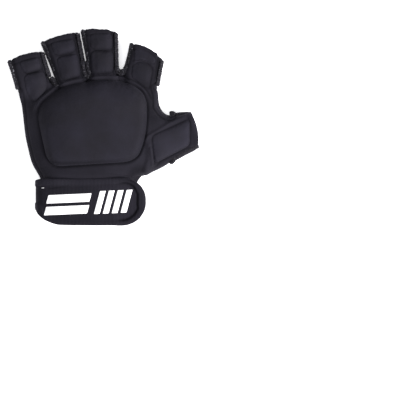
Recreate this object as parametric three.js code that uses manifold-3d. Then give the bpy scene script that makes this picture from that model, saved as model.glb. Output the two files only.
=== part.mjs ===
// A half-finger field hockey glove for the left hand, lying palm down.
// Millimetres. +Z is up, +Y runs towards the fingertips and +X towards the thumb.
// The glove has an open palm: one moulded foam panel covers the back of the hand, the backs of the
// four fingers and the back of the thumb. Foam pads stand on it, a cloth sleeve is sewn under each
// finger and the thumb, and one strap goes round the wrist.
import * as THREE from "three";
import { mergeVertices } from "three/addons/utils/BufferGeometryUtils.js";
import Module from "manifold-3d";

const wasm = await Module();
wasm.setup();
const { clamp, lerp, smoothstep, degToRad } = THREE.MathUtils;

// Cloth and foam
const PANEL_WALL = 3; // laminate over the hand
const FINGER_WALL = 2.4; // the same laminate, pressed thinner over the fingers and thumb
const SLEEVE_WALL = 1.4; // grip cloth under the fingers
const STRAP_WALL = 2.8;
const HOOK_WALL = 1.2;
const GAP = 0.3; // between sewn pieces

// Heights of the middle of the wall above the floor
const SLEEVE_Z = SLEEVE_WALL / 2;
const FLANGE_Z = 5.5; // the sewn edge where a sleeve meets the back of a finger
const SEAM_Z = FLANGE_Z + SLEEVE_WALL / 2 + GAP + 0.3; // lower edge of a finger's back
const FINGER_TOP_Z = 14;
const THUMB_TOP_Z = 14.5;

// Each finger: its root and tip on the floor plan, its widths without the sewn edges, how much the
// cuts at its root and tip slant, how far its sleeve's sewn edge stands out, and the corners of the
// pads on each side of its crease.
const FINGERS = [
  { name: "little", rootX: -61.7, rootY: 36.5, tipX: -69.4, tipY: 63, rootHalf: 13.6, tipHalf: 12.7,
    rootSlantDeg: 5.5, tipSlantDeg: 0, flange: 3.4,
    nearPad: [[-61.5, 20.5], [-51.2, 30.5], [-49.8, 38], [-53.2, 49.2], [-70, 44.8], [-68, 31]],
    farPad: [[-70.4, 46.8], [-53.8, 51], [-57, 61.2], [-73.8, 57]] },
  { name: "ring", rootX: -27.3, rootY: 38.6, tipX: -39, tipY: 79.8, rootHalf: 10.7, tipHalf: 13.8,
    rootSlantDeg: 0, tipSlantDeg: 0, flange: 3.4,
    nearPad: [[-37, 41], [-20.2, 44.8], [-23, 64.2], [-40.4, 60]],
    farPad: [[-41.2, 62], [-23.6, 66.2], [-26, 76.2], [-45.6, 73.2]] },
  { name: "middle", rootX: -0.5, rootY: 46.4, tipX: -4.3, tipY: 85.2, rootHalf: 10.4, tipHalf: 12.4,
    rootSlantDeg: 0, tipSlantDeg: -8, flange: 3.2,
    nearPad: [[-9.6, 47], [8, 47.6], [8, 65.6], [-9.8, 66.2]],
    farPad: [[-10.2, 68.2], [7.6, 67.6], [7, 82], [-10.8, 81.6]] },
  { name: "index", rootX: 32.2, rootY: 41.4, tipX: 38.1, tipY: 67.2, rootHalf: 14.1, tipHalf: 12.4,
    rootSlantDeg: -14, tipSlantDeg: -14, flange: 3.4,
    nearPad: [[24.8, 43.8], [39.8, 32.8], [43.8, 51.8], [26, 56]],
    farPad: [[26.2, 57.8], [44.4, 53.6], [46, 60.8], [36, 67.3], [27.4, 69.6]] },
];
// Places across a finger's back, as shares of its half width: close together where it turns down
const FINGER_COLUMNS = [-1, -0.98, -0.9, -0.76, -0.38, 0, 0.38, 0.76, 0.9, 0.98, 1];
const FINGER_STATIONS = 6;

// Rows of the hand's back, from the wrist to the finger roots. thumb is the share of the way along
// the thumb's root for a row that runs into it, bow how much of the finger roots' arch it follows,
// knuckle how far it takes on their shape. Both are 0 where a row has none.
const BODY_ROWS = [
  { leftX: -54, leftY: -79.5, rightX: 27, rightY: -81, crown: 16.4, leftZ: 8, rightZ: 4.5 },
  { leftX: -54.5, leftY: -70, rightX: 27, rightY: -70, crown: 16.4, leftZ: 8, rightZ: 4.5 },
  { leftX: -54.5, leftY: -57, rightX: 27, rightY: -57, crown: 16.4, leftZ: 8, rightZ: 4.5 },
  { leftX: -55, leftY: -45.5, rightX: 27.6, rightY: -47.5, crown: 16.6, leftZ: 7, rightZ: 4.2 },
  { leftX: -58.5, leftY: -38.8, thumb: 0, crown: 17.6, leftZ: 4.4, bow: 0.05 },
  { leftX: -60.6, leftY: -35.4, thumb: 0.05, crown: 18.2, leftZ: 3.2, bow: 0.08 },
  { leftX: -63.3, leftY: -29.5, thumb: 0.16, crown: 19, leftZ: 2.4, bow: 0.12 },
  { leftX: -66, leftY: -19, thumb: 0.34, crown: 20, leftZ: 2.2, bow: 0.2 },
  { leftX: -68.3, leftY: -8, thumb: 0.52, crown: 20.5, leftZ: 2.2, bow: 0.32 },
  { leftX: -69.8, leftY: 2.5, thumb: 0.7, crown: 20.2, leftZ: 2.2, bow: 0.46 },
  { leftX: -70.8, leftY: 12, thumb: 0.85, crown: 19.2, leftZ: 2.4, bow: 0.6 },
  { leftX: -71.7, leftY: 19, thumb: 0.95, crown: 18.2, leftZ: 2.8, bow: 0.72 },
  { leftX: -72.3, leftY: 22, thumb: 1, crown: 17.4, leftZ: 3.4, bow: 0.8, knuckle: 0.1 },
  { leftX: -73.2, leftY: 26, rightX: 46.6, rightY: 27, crown: 16, leftZ: 5, rightZ: 4.8, bow: 0.9, knuckle: 0.45 },
];
const ARCH_POWER = 2.4; // how flat the hand's back is across its middle
const EDGE_ROUND = 0.6; // how steeply it turns down to a free edge

// The thumb's back, from its root on the hand to its tip: low is the wrist side
const THUMB_STATIONS = [
  { lowX: 31.8, lowY: -42, highX: 46.5, highY: 17.5, edgeZ: 3.2, topZ: 16.5, bulge: 0 },
  { lowX: 42.5, lowY: -37.8, highX: 51.3, highY: 11.5, edgeZ: 3.4, topZ: 15.6, bulge: 0 },
  { lowX: 52, lowY: -33.6, highX: 56.5, highY: 9.4, edgeZ: 4.6, topZ: 15, bulge: 0 },
  { lowX: 60.3, lowY: -28, highX: 61, highY: 9.4, edgeZ: SEAM_Z, topZ: THUMB_TOP_Z, bulge: 0.3 },
  { lowX: 70.4, lowY: -22.2, highX: 68.8, highY: 10.2, edgeZ: SEAM_Z, topZ: THUMB_TOP_Z, bulge: 1.2 },
  { lowX: 81.2, lowY: -16.4, highX: 76.4, highY: 10.4, edgeZ: SEAM_Z, topZ: THUMB_TOP_Z, bulge: 2.8 },
];
const THUMB_LOOP_START = 3; // the station where the thumb's sleeve begins
const THUMB_FLANGE = 3.2;
const SLEEVE_START = 3.4; // how far past a finger's root its sleeve begins

// Pads on the panel: the corners of each outline on the floor plan
const HAND_PAD = {
  height: 6.8, round: 13, points: 44,
  corners: [
    [-59.8, 15.8], [-41, 33], [-27, 38.2], [3, 42.8], [23, 39.8], [38.5, 30], [39.8, 8], [33, -31.5], [-49, -36.2],
  ],
};
const THUMB_PAD = {
  height: 3, round: 5, points: 24,
  corners: [[42.4, -7.6], [73.6, 5.6], [76.6, -14.4], [44.2, -32]],
};
const FINGER_PAD = { height: 2.8, round: 3.4, points: 18 };
const PAD_SEAT = 1; // how far a pad's block reaches into the panel before it is trimmed
const PAD_BRIDGE = 0.6; // how far it follows the dips between the fingers
const PAD_GAP = 0.5; // wider than GAP, as the trim runs closer in the panel's creases
// A pad's side: how far in from its outline, and how high, as shares of the pad's height
const PAD_SIDE = [
  { inset: 0, rise: 0.42 },
  { inset: 0.22, rise: 0.78 },
  { inset: 0.6, rise: 0.95 },
];
const PAD_DOME = [
  { scale: 0.76, rise: 1.02 },
  { scale: 0.5, rise: 1.07 },
  { scale: 0.24, rise: 1.1 },
];

// The strap's path round the wrist, as a section across the hand, and its two edges along Y.
// It starts flat on the floor under the thumb side and ends in a free tip over the same side.
const STRAP_PATH = [
  { x: 28.6, z: STRAP_WALL / 2, low: -80, high: -48 },
  { x: 10, z: STRAP_WALL / 2, low: -80, high: -48 },
  { x: -15, z: STRAP_WALL / 2, low: -80, high: -48 },
  { x: -42, z: STRAP_WALL / 2, low: -79.4, high: -48 },
  { x: -52, z: 2.1, low: -78.4, high: -47.6 },
  { x: -57.6, z: 5.2, low: -77, high: -47 },
  { x: -59.6, z: 10, low: -76, high: -46.6 },
  { x: -56.6, z: 15.2, low: -79.4, high: -46.2 },
  { x: -50, z: 18, low: -83.4, high: -46 },
  { x: -38, z: 19.6, low: -85.9, high: -46 },
  { x: -14, z: 20.1, low: -86.3, high: -45.8 },
  { x: 8, z: 20.1, low: -86.3, high: -45.4 },
  { x: 24, z: 19.3, low: -86.2, high: -45.2 },
  { x: 36.2, z: 17.4, low: -86, high: -45.2 },
];
const STRAP_STEPS = 44;
const STRAP_TIP_LENGTH = 22; // the rounded end
const STRAP_TIP_POWER = 2.15; // 2 would be an ellipse
const STRAP_COLUMNS = 6;
const HOOK_PATCH = { start: 4, end: 32, halfWidth: 14.5, y: -65.7 };

// A wall that follows a surface. Patches of points are joined where their points coincide.
class Sheet {
  points = [];
  walls = [];
  quads = [];
  #places = new Map();

  addPoint({ at, wall }) {
    const key = at.toArray().map((value) => Math.round(value * 1000)).join(" ");
    if (!this.#places.has(key)) {
      this.#places.set(key, this.points.length);
      this.points.push(at);
      this.walls.push(wall);
    }
    return this.#places.get(key);
  }

  // rows run up the page and columns to the right, seen from outside
  addPatch(rows) {
    const ids = rows.map((row) => row.map((point) => this.addPoint(point)));
    for (let i = 0; i + 1 < ids.length; i++)
      for (let j = 0; j + 1 < ids[i].length; j++)
        this.quads.push([ids[i][j], ids[i][j + 1], ids[i + 1][j + 1], ids[i + 1][j]]);
  }

  triangles() {
    return this.quads
      .flatMap(([a, b, c, d]) => [[a, b, c], [a, c, d]])
      .filter(([a, b, c]) => a !== b && b !== c && c !== a);
  }

  normals() {
    const sums = this.points.map(() => new THREE.Vector3());
    for (const [a, b, c] of this.triangles()) {
      const [p, q, r] = [this.points[a], this.points[b], this.points[c]];
      const face = q.clone().sub(p).cross(r.clone().sub(p));
      for (const k of [a, b, c]) sums[k].add(face);
    }
    return sums.map((sum) => sum.normalize());
  }

  // The closed wall, extra millimetres thicker on both sides
  geometry(extra = 0) {
    const normals = this.normals();
    const shifted = (side) =>
      this.points.map((p, k) => p.clone().addScaledVector(normals[k], side * (this.walls[k] / 2 + extra)));
    const count = this.points.length;
    const faces = this.triangles();
    const edges = new Set(faces.flatMap(([a, b, c]) => [`${a} ${b}`, `${b} ${c}`, `${c} ${a}`]));
    const index = faces.flatMap(([a, b, c]) => [a, b, c, count + c, count + b, count + a]);
    for (const edge of edges) {
      const [a, b] = edge.split(" ").map(Number);
      if (!edges.has(`${b} ${a}`)) index.push(b, a, count + a, b, count + a, count + b);
    }
    return indexedGeometry([...shifted(1), ...shifted(-1)], index);
  }
}

function indexedGeometry(points, index) {
  return new THREE.BufferGeometry().setFromPoints(points).setIndex(index);
}

function solidOf(geometry) {
  const bare = geometry.clone();
  bare.deleteAttribute("normal");
  bare.deleteAttribute("uv");
  const merged = mergeVertices(bare, 1e-4);
  return new wasm.Manifold(
    new wasm.Mesh({
      numProp: 3,
      vertProperties: merged.attributes.position.array,
      triVerts: new Uint32Array(merged.index.array),
    }),
  );
}

function geometryOf(solid) {
  const { vertProperties, triVerts } = solid.getMesh();
  return new THREE.BufferGeometry()
    .setAttribute("position", new THREE.BufferAttribute(vertProperties, 3))
    .setIndex(new THREE.BufferAttribute(triVerts, 1));
}

// A finger's own axes on the floor plan
function fingerAxes(finger) {
  const root = new THREE.Vector2(finger.rootX, finger.rootY);
  const along = new THREE.Vector2(finger.tipX, finger.tipY).sub(root);
  const length = along.length();
  along.normalize();
  return { root, along, length, side: new THREE.Vector2(along.y, -along.x) };
}

// The floor plan point a distance along a finger and a distance to its side
function onFinger(finger, distance, lateral) {
  const { root, along, length, side } = fingerAxes(finger);
  const slantDeg = lerp(finger.rootSlantDeg, finger.tipSlantDeg, clamp(distance / length, 0, 1));
  const slanted = distance + Math.tan(degToRad(slantDeg)) * lateral;
  return root.clone().addScaledVector(along, slanted).addScaledVector(side, lateral);
}

const fingerHalf = (finger, share) => lerp(finger.rootHalf, finger.tipHalf, share);

// How high a finger's back stands at a share u of its half width, from 0 at the seam to 1
const fingerCrown = (u) => Math.sqrt(1 - Math.abs(u) ** 10);
const thumbCrown = (u) => (1 - Math.abs(u) ** 5) ** 0.55;

function fingerBackRow(finger, share) {
  const distance = fingerAxes(finger).length * share;
  return FINGER_COLUMNS.map((u) => {
    const plan = onFinger(finger, distance, u * fingerHalf(finger, share));
    return {
      at: new THREE.Vector3(plan.x, plan.y, lerp(SEAM_Z, FINGER_TOP_Z, fingerCrown(u))),
      wall: FINGER_WALL,
    };
  });
}

// The root row: the four fingers' first rows, with the webs between them
const rootRow = FINGERS.flatMap((finger) => fingerBackRow(finger, 0));

const thumbRoot = THUMB_STATIONS[0];
const thumbRootZ = (share) => lerp(thumbRoot.edgeZ, thumbRoot.topZ, thumbCrown(2 * share - 1));

// The finger roots a share of the way across the hand: how far they bow out, and how high they are
function rootAt(share) {
  const first = rootRow[0].at;
  const last = rootRow.at(-1).at;
  const x = lerp(first.x, last.x, clamp(share, 0, 1));
  const next = Math.max(1, rootRow.findIndex(({ at }) => at.x >= x - 1e-6));
  const [before, after] = [rootRow[next - 1].at, rootRow[next].at];
  const between = (x - before.x) / (after.x - before.x);
  return {
    bow: lerp(before.y, after.y, between) - lerp(first.y, last.y, share),
    z: lerp(before.z, after.z, between),
  };
}

function bodyRow(row) {
  const { bow = 0, knuckle = 0 } = row;
  const onThumb = row.thumb !== undefined;
  const rightX = onThumb ? lerp(thumbRoot.lowX, thumbRoot.highX, row.thumb) : row.rightX;
  const rightY = onThumb ? lerp(thumbRoot.lowY, thumbRoot.highY, row.thumb) : row.rightY;
  const rightZ = onThumb ? thumbRootZ(row.thumb) : row.rightZ;
  const last = rootRow.length - 1;
  return rootRow.map((_, column) => {
    const share = column / last;
    const u = 2 * share - 1;
    const rightRound = onThumb ? lerp(EDGE_ROUND, 1, thumbCrown(2 * row.thumb - 1)) : EDGE_ROUND;
    const round = u < 0 ? EDGE_ROUND : rightRound;
    const rise = (1 - Math.abs(u) ** ARCH_POWER) ** round;
    const arched = lerp(u < 0 ? row.leftZ : rightZ, row.crown, rise);
    const nearby = [-0.03, 0, 0.03].map((step) => rootAt(share + step * rise).z);
    const knuckleZ = (nearby[0] + nearby[1] + nearby[2]) / 3;
    return {
      at: new THREE.Vector3(
        lerp(row.leftX, rightX, share),
        lerp(row.leftY, rightY, share) + bow * rootAt(share).bow,
        lerp(arched, knuckleZ, knuckle),
      ),
      wall: lerp(PANEL_WALL, FINGER_WALL, knuckle),
    };
  });
}

function thumbPoint(station, share) {
  const u = 2 * share - 1;
  return {
    at: new THREE.Vector3(
      lerp(station.lowX, station.highX, share) + station.bulge * (1 - u * u),
      lerp(station.lowY, station.highY, share),
      lerp(station.edgeZ, station.topZ, thumbCrown(u)),
    ),
    wall: FINGER_WALL,
  };
}

function backPanelSheet() {
  const sheet = new Sheet();
  const rows = [...BODY_ROWS.map(bodyRow), rootRow];
  sheet.addPatch(rows);
  for (const finger of FINGERS) {
    const shares = Array.from({ length: FINGER_STATIONS + 1 }, (_, i) => i / FINGER_STATIONS);
    sheet.addPatch(shares.map((share) => fingerBackRow(finger, share)));
  }
  const thumbRows = BODY_ROWS.map((row, i) => ({ row, rightEnd: rows[i].at(-1) })).filter(
    ({ row }) => row.thumb !== undefined,
  );
  sheet.addPatch(
    thumbRows.map(({ row, rightEnd }) => [
      rightEnd,
      ...THUMB_STATIONS.slice(1).map((station) => thumbPoint(station, row.thumb)),
    ]),
  );
  return sheet;
}

// A sleeve's section, from one sewn edge down under the finger and up to the other
function sleeveSection(half, flange) {
  const right = [
    { lateral: 0, z: SLEEVE_Z },
    { lateral: half - 4.4, z: SLEEVE_Z },
    { lateral: half - 1.9, z: SLEEVE_Z + 0.9 },
    { lateral: half - 0.5, z: SLEEVE_Z + 2.6 },
    { lateral: half + 0.2, z: FLANGE_Z },
    { lateral: half + flange, z: FLANGE_Z },
  ];
  const left = right.slice(1).map(({ lateral, z }) => ({ lateral: -lateral, z })).reverse();
  return [...left, ...right];
}

// The sewn edge narrows to the rounded corners of the tip
const flangeAt = (flange, share) => flange * (1 - 0.45 * smoothstep(share, 0.86, 1));

// Sections are laid from right to left so that the sleeve's outside is its underside
function fingerSleeveSheet(finger) {
  const sheet = new Sheet();
  const { length } = fingerAxes(finger);
  const shares = [SLEEVE_START / length, 0.28, 0.5, 0.75, 0.92, 1];
  sheet.addPatch(
    shares.map((share) =>
      sleeveSection(fingerHalf(finger, share), flangeAt(finger.flange, share))
        .reverse()
        .map(({ lateral, z }) => {
          const plan = onFinger(finger, length * share, lateral);
          return { at: new THREE.Vector3(plan.x, plan.y, z), wall: SLEEVE_WALL };
        }),
    ),
  );
  return sheet;
}

function thumbSleeveSheet() {
  const sheet = new Sheet();
  const stations = THUMB_STATIONS.slice(THUMB_LOOP_START);
  const sections = stations.map((station, i) => {
    const low = new THREE.Vector2(station.lowX, station.lowY);
    const high = new THREE.Vector2(station.highX, station.highY);
    const middle = low.clone().lerp(high, 0.5);
    const across = high.clone().sub(low);
    const half = across.length() / 2;
    across.normalize();
    return sleeveSection(half, flangeAt(THUMB_FLANGE, i / (stations.length - 1))).map(({ lateral, z }) => {
      const plan = middle.clone().addScaledVector(across, lateral);
      const u = clamp(lateral / half, -1, 1);
      return { at: new THREE.Vector3(plan.x + station.bulge * (1 - u * u), plan.y, z), wall: SLEEVE_WALL };
    });
  });
  sheet.addPatch(sections);
  return sheet;
}

// The height of the panel's outer face at a point of the floor plan
function makeHeightAt(geometry) {
  const position = geometry.attributes.position;
  const corners = geometry.index.array;
  const triangle = new THREE.Triangle();
  const weights = new THREE.Vector3();
  const flat = (v) => new THREE.Vector3(v.x, v.y, 0);
  const faces = [];
  for (let i = 0; i < corners.length; i += 3) {
    const [a, b, c] = [0, 1, 2].map((k) => new THREE.Vector3().fromBufferAttribute(position, corners[i + k]));
    faces.push({ plan: [flat(a), flat(b), flat(c)], z: new THREE.Vector3(a.z, b.z, c.z) });
  }
  return (x, y) => {
    const point = new THREE.Vector3(x, y, 0);
    let highest = 0;
    for (const { plan, z } of faces) {
      triangle.set(...plan);
      if (triangle.getArea() < 1e-6 || !triangle.getBarycoord(point, weights)) continue;
      if (Math.min(weights.x, weights.y, weights.z) >= -1e-6) highest = Math.max(highest, weights.dot(z));
    }
    return highest;
  };
}

// A closed outline through straight sides with rounded corners
function roundedOutline(corners, round, count) {
  const points = corners.map(([x, y]) => new THREE.Vector2(x, y));
  const shape = new THREE.Shape();
  points.forEach((corner, i) => {
    const towards = (other) => {
      const arm = other.clone().sub(corner);
      return corner.clone().addScaledVector(arm.normalize(), Math.min(round, 0.45 * corner.distanceTo(other)));
    };
    const start = towards(points.at(i - 1));
    const end = towards(points[(i + 1) % points.length]);
    if (i === 0) shape.moveTo(start.x, start.y);
    else shape.lineTo(start.x, start.y);
    shape.quadraticCurveTo(corner.x, corner.y, end.x, end.y);
  });
  shape.closePath();
  const spaced = shape.getSpacedPoints(count).slice(0, count);
  return THREE.ShapeUtils.isClockWise(spaced) ? spaced.reverse() : spaced;
}

// A crowned pad on the panel, trimmed to a small gap over it
function padGeometry(outline, height, round, heightAt, seat) {
  const centre = outline.reduce((sum, p) => sum.add(p), new THREE.Vector2()).divideScalar(outline.length);
  // foam bridges the small dips of the panel under it
  const bridgedHeightAt = (x, y) => {
    const reach = round / 3;
    const around = [[0, 0], [reach, 0], [-reach, 0], [0, reach], [0, -reach]];
    const heights = around.map(([dx, dy]) => heightAt(x + dx, y + dy)).filter((z) => z > 0);
    return heights.reduce((sum, z) => sum + z, 0) / heights.length;
  };
  const ring = (shrink, rise, surfaceAt = bridgedHeightAt) =>
    outline.map((p) => {
      const plan = p.clone().lerp(centre, shrink(p));
      return new THREE.Vector3(plan.x, plan.y, surfaceAt(plan.x, plan.y) + rise);
    });
  const inset = (distance) => (p) => Math.min(0.9, distance / p.distanceTo(centre));
  const seatedHeightAt = (x, y) => Math.max(heightAt(x, y) - PAD_SEAT, bridgedHeightAt(x, y) - PAD_BRIDGE);
  // from the middle of the base out to the outline, up the side and in over the dome
  const rings = [
    ...PAD_DOME.map((dome) => ring(() => 1 - dome.scale, 0, seatedHeightAt)).reverse(),
    ring(() => 0, 0, seatedHeightAt),
    ...PAD_SIDE.map((side) => ring(inset(side.inset * round), side.rise * height)),
    ...PAD_DOME.map((dome) => ring(() => 1 - dome.scale, dome.rise * height)),
  ];
  const top = heightAt(centre.x, centre.y);
  const points = rings.flat();
  const base = points.push(new THREE.Vector3(centre.x, centre.y, top - PAD_SEAT)) - 1;
  const peak = points.push(new THREE.Vector3(centre.x, centre.y, top + PAD_DOME.at(-1).rise * height)) - 1;
  const count = outline.length;
  const index = [];
  for (let k = 0; k < count; k++) {
    const next = (k + 1) % count;
    for (let from = 0; from + count < rings.length * count; from += count) {
      const to = from + count;
      index.push(from + k, from + next, to + next, from + k, to + next, to + k);
    }
    index.push(next, k, base);
    index.push((rings.length - 1) * count + k, (rings.length - 1) * count + next, peak);
  }
  // what is left under the panel is dropped
  const pieces = solidOf(indexedGeometry(points, index)).subtract(seat).decompose();
  return geometryOf(pieces.sort((a, b) => b.volume() - a.volume())[0]);
}

// The strap's stations: points along the path, with the tip's edges drawn in to a rounded end
function strapStations() {
  const path = new THREE.CatmullRomCurve3(
    STRAP_PATH.map(({ x, z }) => new THREE.Vector3(x, 0, z)), false, "centripetal");
  const edges = new THREE.CatmullRomCurve3(
    STRAP_PATH.map(({ low, high }) => new THREE.Vector3(low, high, 0)), false, "centripetal");
  const length = path.getLength();
  const tipStart = 1 - STRAP_TIP_LENGTH / length;
  const tipSteps = [0.22, 0.42, 0.6, 0.75, 0.87, 0.95, 0.99];
  const shares = [
    ...Array.from({ length: STRAP_STEPS + 1 }, (_, i) => (tipStart * i) / STRAP_STEPS),
    ...tipSteps.map((step) => tipStart + (1 - tipStart) * step),
  ];
  return shares.map((share) => {
    const t = path.getUtoTmapping(share);
    const { x: low, y: high } = edges.getPoint(t);
    const intoTip = Math.max(0, (share - tipStart) / (1 - tipStart));
    const half = ((high - low) / 2) * Math.sqrt(1 - intoTip ** STRAP_TIP_POWER);
    const middle = (low + high) / 2;
    const at = path.getPoint(t);
    at.z = Math.max(at.z, STRAP_WALL / 2); // flat where it lies on the floor
    return { at, low: middle - half, high: middle + half };
  });
}

function strapSheet() {
  const sheet = new Sheet();
  const columns = Array.from({ length: STRAP_COLUMNS + 1 }, (_, i) => i / STRAP_COLUMNS);
  sheet.addPatch(
    strapStations().map(({ at, low, high }) =>
      columns.map((share) => ({ at: new THREE.Vector3(at.x, lerp(low, high, share), at.z), wall: STRAP_WALL })),
    ),
  );
  return sheet;
}

// The hook patch follows the underside of the strap's free end
function hookSheet() {
  const sheet = new Sheet();
  const drop = STRAP_WALL / 2 + GAP + HOOK_WALL / 2;
  const path = strapStations().map(({ at }) => at);
  const over = path.filter((at, i) => i > path.length / 2 && at.x > HOOK_PATCH.start && at.x < HOOK_PATCH.end);
  sheet.addPatch(
    over.map((at) =>
      [-1, 0, 1].map((side) => ({
        at: new THREE.Vector3(at.x, HOOK_PATCH.y + side * HOOK_PATCH.halfWidth, at.z - drop),
        wall: HOOK_WALL,
      })),
    ),
  );
  return sheet;
}

const materials = {
  panel: new THREE.MeshStandardMaterial({ color: "#242328", roughness: 0.85, metalness: 0 }),
  pad: new THREE.MeshStandardMaterial({ color: "#2b2a31", roughness: 0.85, metalness: 0 }),
  grip: new THREE.MeshStandardMaterial({ color: "#26253a", roughness: 0.7, metalness: 0 }),
  strap: new THREE.MeshStandardMaterial({ color: "#222226", roughness: 0.8, metalness: 0 }),
  hook: new THREE.MeshStandardMaterial({ color: "#1b1a1c", roughness: 0.95, metalness: 0 }),
};

const glove = new THREE.Group();
const addNode = (name, geometry, material) => {
  const mesh = new THREE.Mesh(geometry, material);
  mesh.name = name;
  glove.add(mesh);
};

const panelSheet = backPanelSheet();
const panelGeometry = panelSheet.geometry();
const panelSeat = solidOf(panelSheet.geometry(PAD_GAP));
const heightAt = makeHeightAt(panelGeometry);
const addPad = (name, outline, pad) =>
  addNode(name, padGeometry(outline, pad.height, pad.round, heightAt, panelSeat), materials.pad);

addNode("back_panel", panelGeometry, materials.panel);
addPad("hand_pad", roundedOutline(HAND_PAD.corners, HAND_PAD.round, HAND_PAD.points), HAND_PAD);
addPad("thumb_pad", roundedOutline(THUMB_PAD.corners, THUMB_PAD.round, THUMB_PAD.points), THUMB_PAD);
for (const finger of FINGERS) {
  const { round, points } = FINGER_PAD;
  addPad(`${finger.name}_near_pad`, roundedOutline(finger.nearPad, round, points), FINGER_PAD);
  addPad(`${finger.name}_far_pad`, roundedOutline(finger.farPad, round, points), FINGER_PAD);
  addNode(`${finger.name}_sleeve`, fingerSleeveSheet(finger).geometry(), materials.grip);
}
addNode("thumb_sleeve", thumbSleeveSheet().geometry(), materials.grip);
addNode("wrist_strap", strapSheet().geometry(), materials.strap);
addNode("hook_patch", hookSheet().geometry(), materials.hook);

// The origin is under the middle of the glove, on the floor
const box = new THREE.Box3().setFromObject(glove, true);
glove.position.set(-(box.min.x + box.max.x) / 2, -(box.min.y + box.max.y) / 2, -box.min.z);

export default glove;
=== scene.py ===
import math

import bpy
import numpy as np
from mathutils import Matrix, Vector, noise
from mathutils.bvhtree import BVHTree
from mathutils.geometry import delaunay_2d_cdt


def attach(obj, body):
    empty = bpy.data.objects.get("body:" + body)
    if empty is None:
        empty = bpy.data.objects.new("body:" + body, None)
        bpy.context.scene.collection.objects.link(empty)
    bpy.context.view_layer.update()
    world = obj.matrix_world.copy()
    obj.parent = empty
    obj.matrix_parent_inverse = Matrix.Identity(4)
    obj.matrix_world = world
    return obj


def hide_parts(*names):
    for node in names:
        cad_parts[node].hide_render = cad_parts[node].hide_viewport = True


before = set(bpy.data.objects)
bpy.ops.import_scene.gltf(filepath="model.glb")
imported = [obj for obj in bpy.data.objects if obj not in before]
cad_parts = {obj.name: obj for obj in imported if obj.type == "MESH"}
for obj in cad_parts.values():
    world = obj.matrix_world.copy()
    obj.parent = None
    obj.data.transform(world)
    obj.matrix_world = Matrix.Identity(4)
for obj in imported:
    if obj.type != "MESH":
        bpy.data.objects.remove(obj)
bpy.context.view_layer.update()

# A half-finger field hockey glove for the left hand, lying palm down and seen from straight above.
# Every shape is worked out on the cutting plan in millimetres, +X towards the thumb and +Y towards
# the fingertips, and is turned to metres in the frame when its mesh is made.


MM = 0.001
PLAN_ZERO = np.array([0.7624, 0.2168, 0.0])  # the plan's zero, in the frame


# ---------------------------------------------------------------- camera, floor and light

PHOTO_PIXELS, PIXEL_MM = 400, 0.88  # the photograph's side, and millimetres on the floor to a pixel
PHOTO_MIDDLE = (84.48, -64.24)  # the plan's point in the middle of the photograph
LENS, SENSOR = 180.0, 36.0
FOCUS_HEIGHT = 12.0  # the height that is drawn to scale
GLOVE = Vector((0, 0, 0.01))


def new_object(name, data):
    made = bpy.data.objects.new(name, data)
    bpy.context.scene.collection.objects.link(made)
    return made


camera_data = bpy.data.cameras.new("camera_above")
camera_data.lens, camera_data.sensor_width = LENS, SENSOR
camera = new_object("camera_above", camera_data)
lens_height = FOCUS_HEIGHT + PHOTO_PIXELS * PIXEL_MM * LENS / SENSOR
camera.location = (np.array([*PHOTO_MIDDLE, lens_height]) + PLAN_ZERO) * MM
bpy.context.scene.camera = camera
bpy.context.scene.view_settings.view_transform = "Standard"


def soft_light(name, place, size, power, colour):
    """A round softbox turned to the glove."""
    lamp = bpy.data.lights.new(name, "AREA")
    lamp.shape, lamp.size, lamp.energy, lamp.color = "DISK", size, power, colour
    holder = new_object(name, lamp)
    holder.location = place
    holder.rotation_euler = (GLOVE - Vector(place)).to_track_quat("-Z", "Y").to_euler()


soft_light("softbox_key", (1.46, -0.6, 0.98), size=0.9, power=78, colour=(1.0, 0.97, 0.99))
soft_light("softbox_top", (-0.2, 0.2, 1.9), size=1.6, power=12, colour=(0.94, 0.96, 1.0))

world = bpy.data.worlds.new("pale_room")
world.use_nodes = True
sky = world.node_tree.nodes["Background"].inputs
sky["Color"].default_value, sky["Strength"].default_value = (0.97, 0.96, 0.98, 1), 0.68
bpy.context.scene.world = world


# ---------------------------------------------------------------- materials

def linear(hex_colour):
    """An sRGB hex colour as the linear RGBA that a shader takes."""
    parts = [int(hex_colour[i:i + 2], 16) / 255 for i in (1, 3, 5)]
    return (*[c / 12.92 if c <= 0.04045 else ((c + 0.055) / 1.055) ** 2.4 for c in parts], 1.0)


def add_node(tree, kind, inputs=None, **settings):
    """Adds a node with its settings, and fills its inputs with values, outputs or nodes' first outputs."""
    made = tree.nodes.new("ShaderNode" + kind)
    for name, value in settings.items():
        setattr(made, name, value)
    for name, value in (inputs or {}).items():
        if isinstance(value, bpy.types.Node):
            value = value.outputs[0]
        if isinstance(value, bpy.types.NodeSocket):
            tree.links.new(value, made.inputs[name])
        else:
            made.inputs[name].default_value = value
    return made


def new_material(name, **shader_values):
    """A material with its shader's values, its node tree, and the place on the piece."""
    material = bpy.data.materials.new(name)
    material.use_nodes = True
    tree = material.node_tree
    for socket, value in shader_values.items():
        tree.nodes["Principled BSDF"].inputs[socket.replace("_", " ")].default_value = value
    return material, tree, add_node(tree, "TexCoord").outputs["Object"]


def finished(material, colour, height, strength, depth_mm):
    """The material with its colour and a fine relief linked to its shader."""
    tree = material.node_tree
    relief = add_node(tree, "Bump", {"Height": height, "Strength": strength, "Distance": depth_mm * MM})
    for value, socket in ((colour, "Base Color"), (relief.outputs["Normal"], "Normal")):
        tree.links.new(value, tree.nodes["Principled BSDF"].inputs[socket])
    return material


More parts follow.
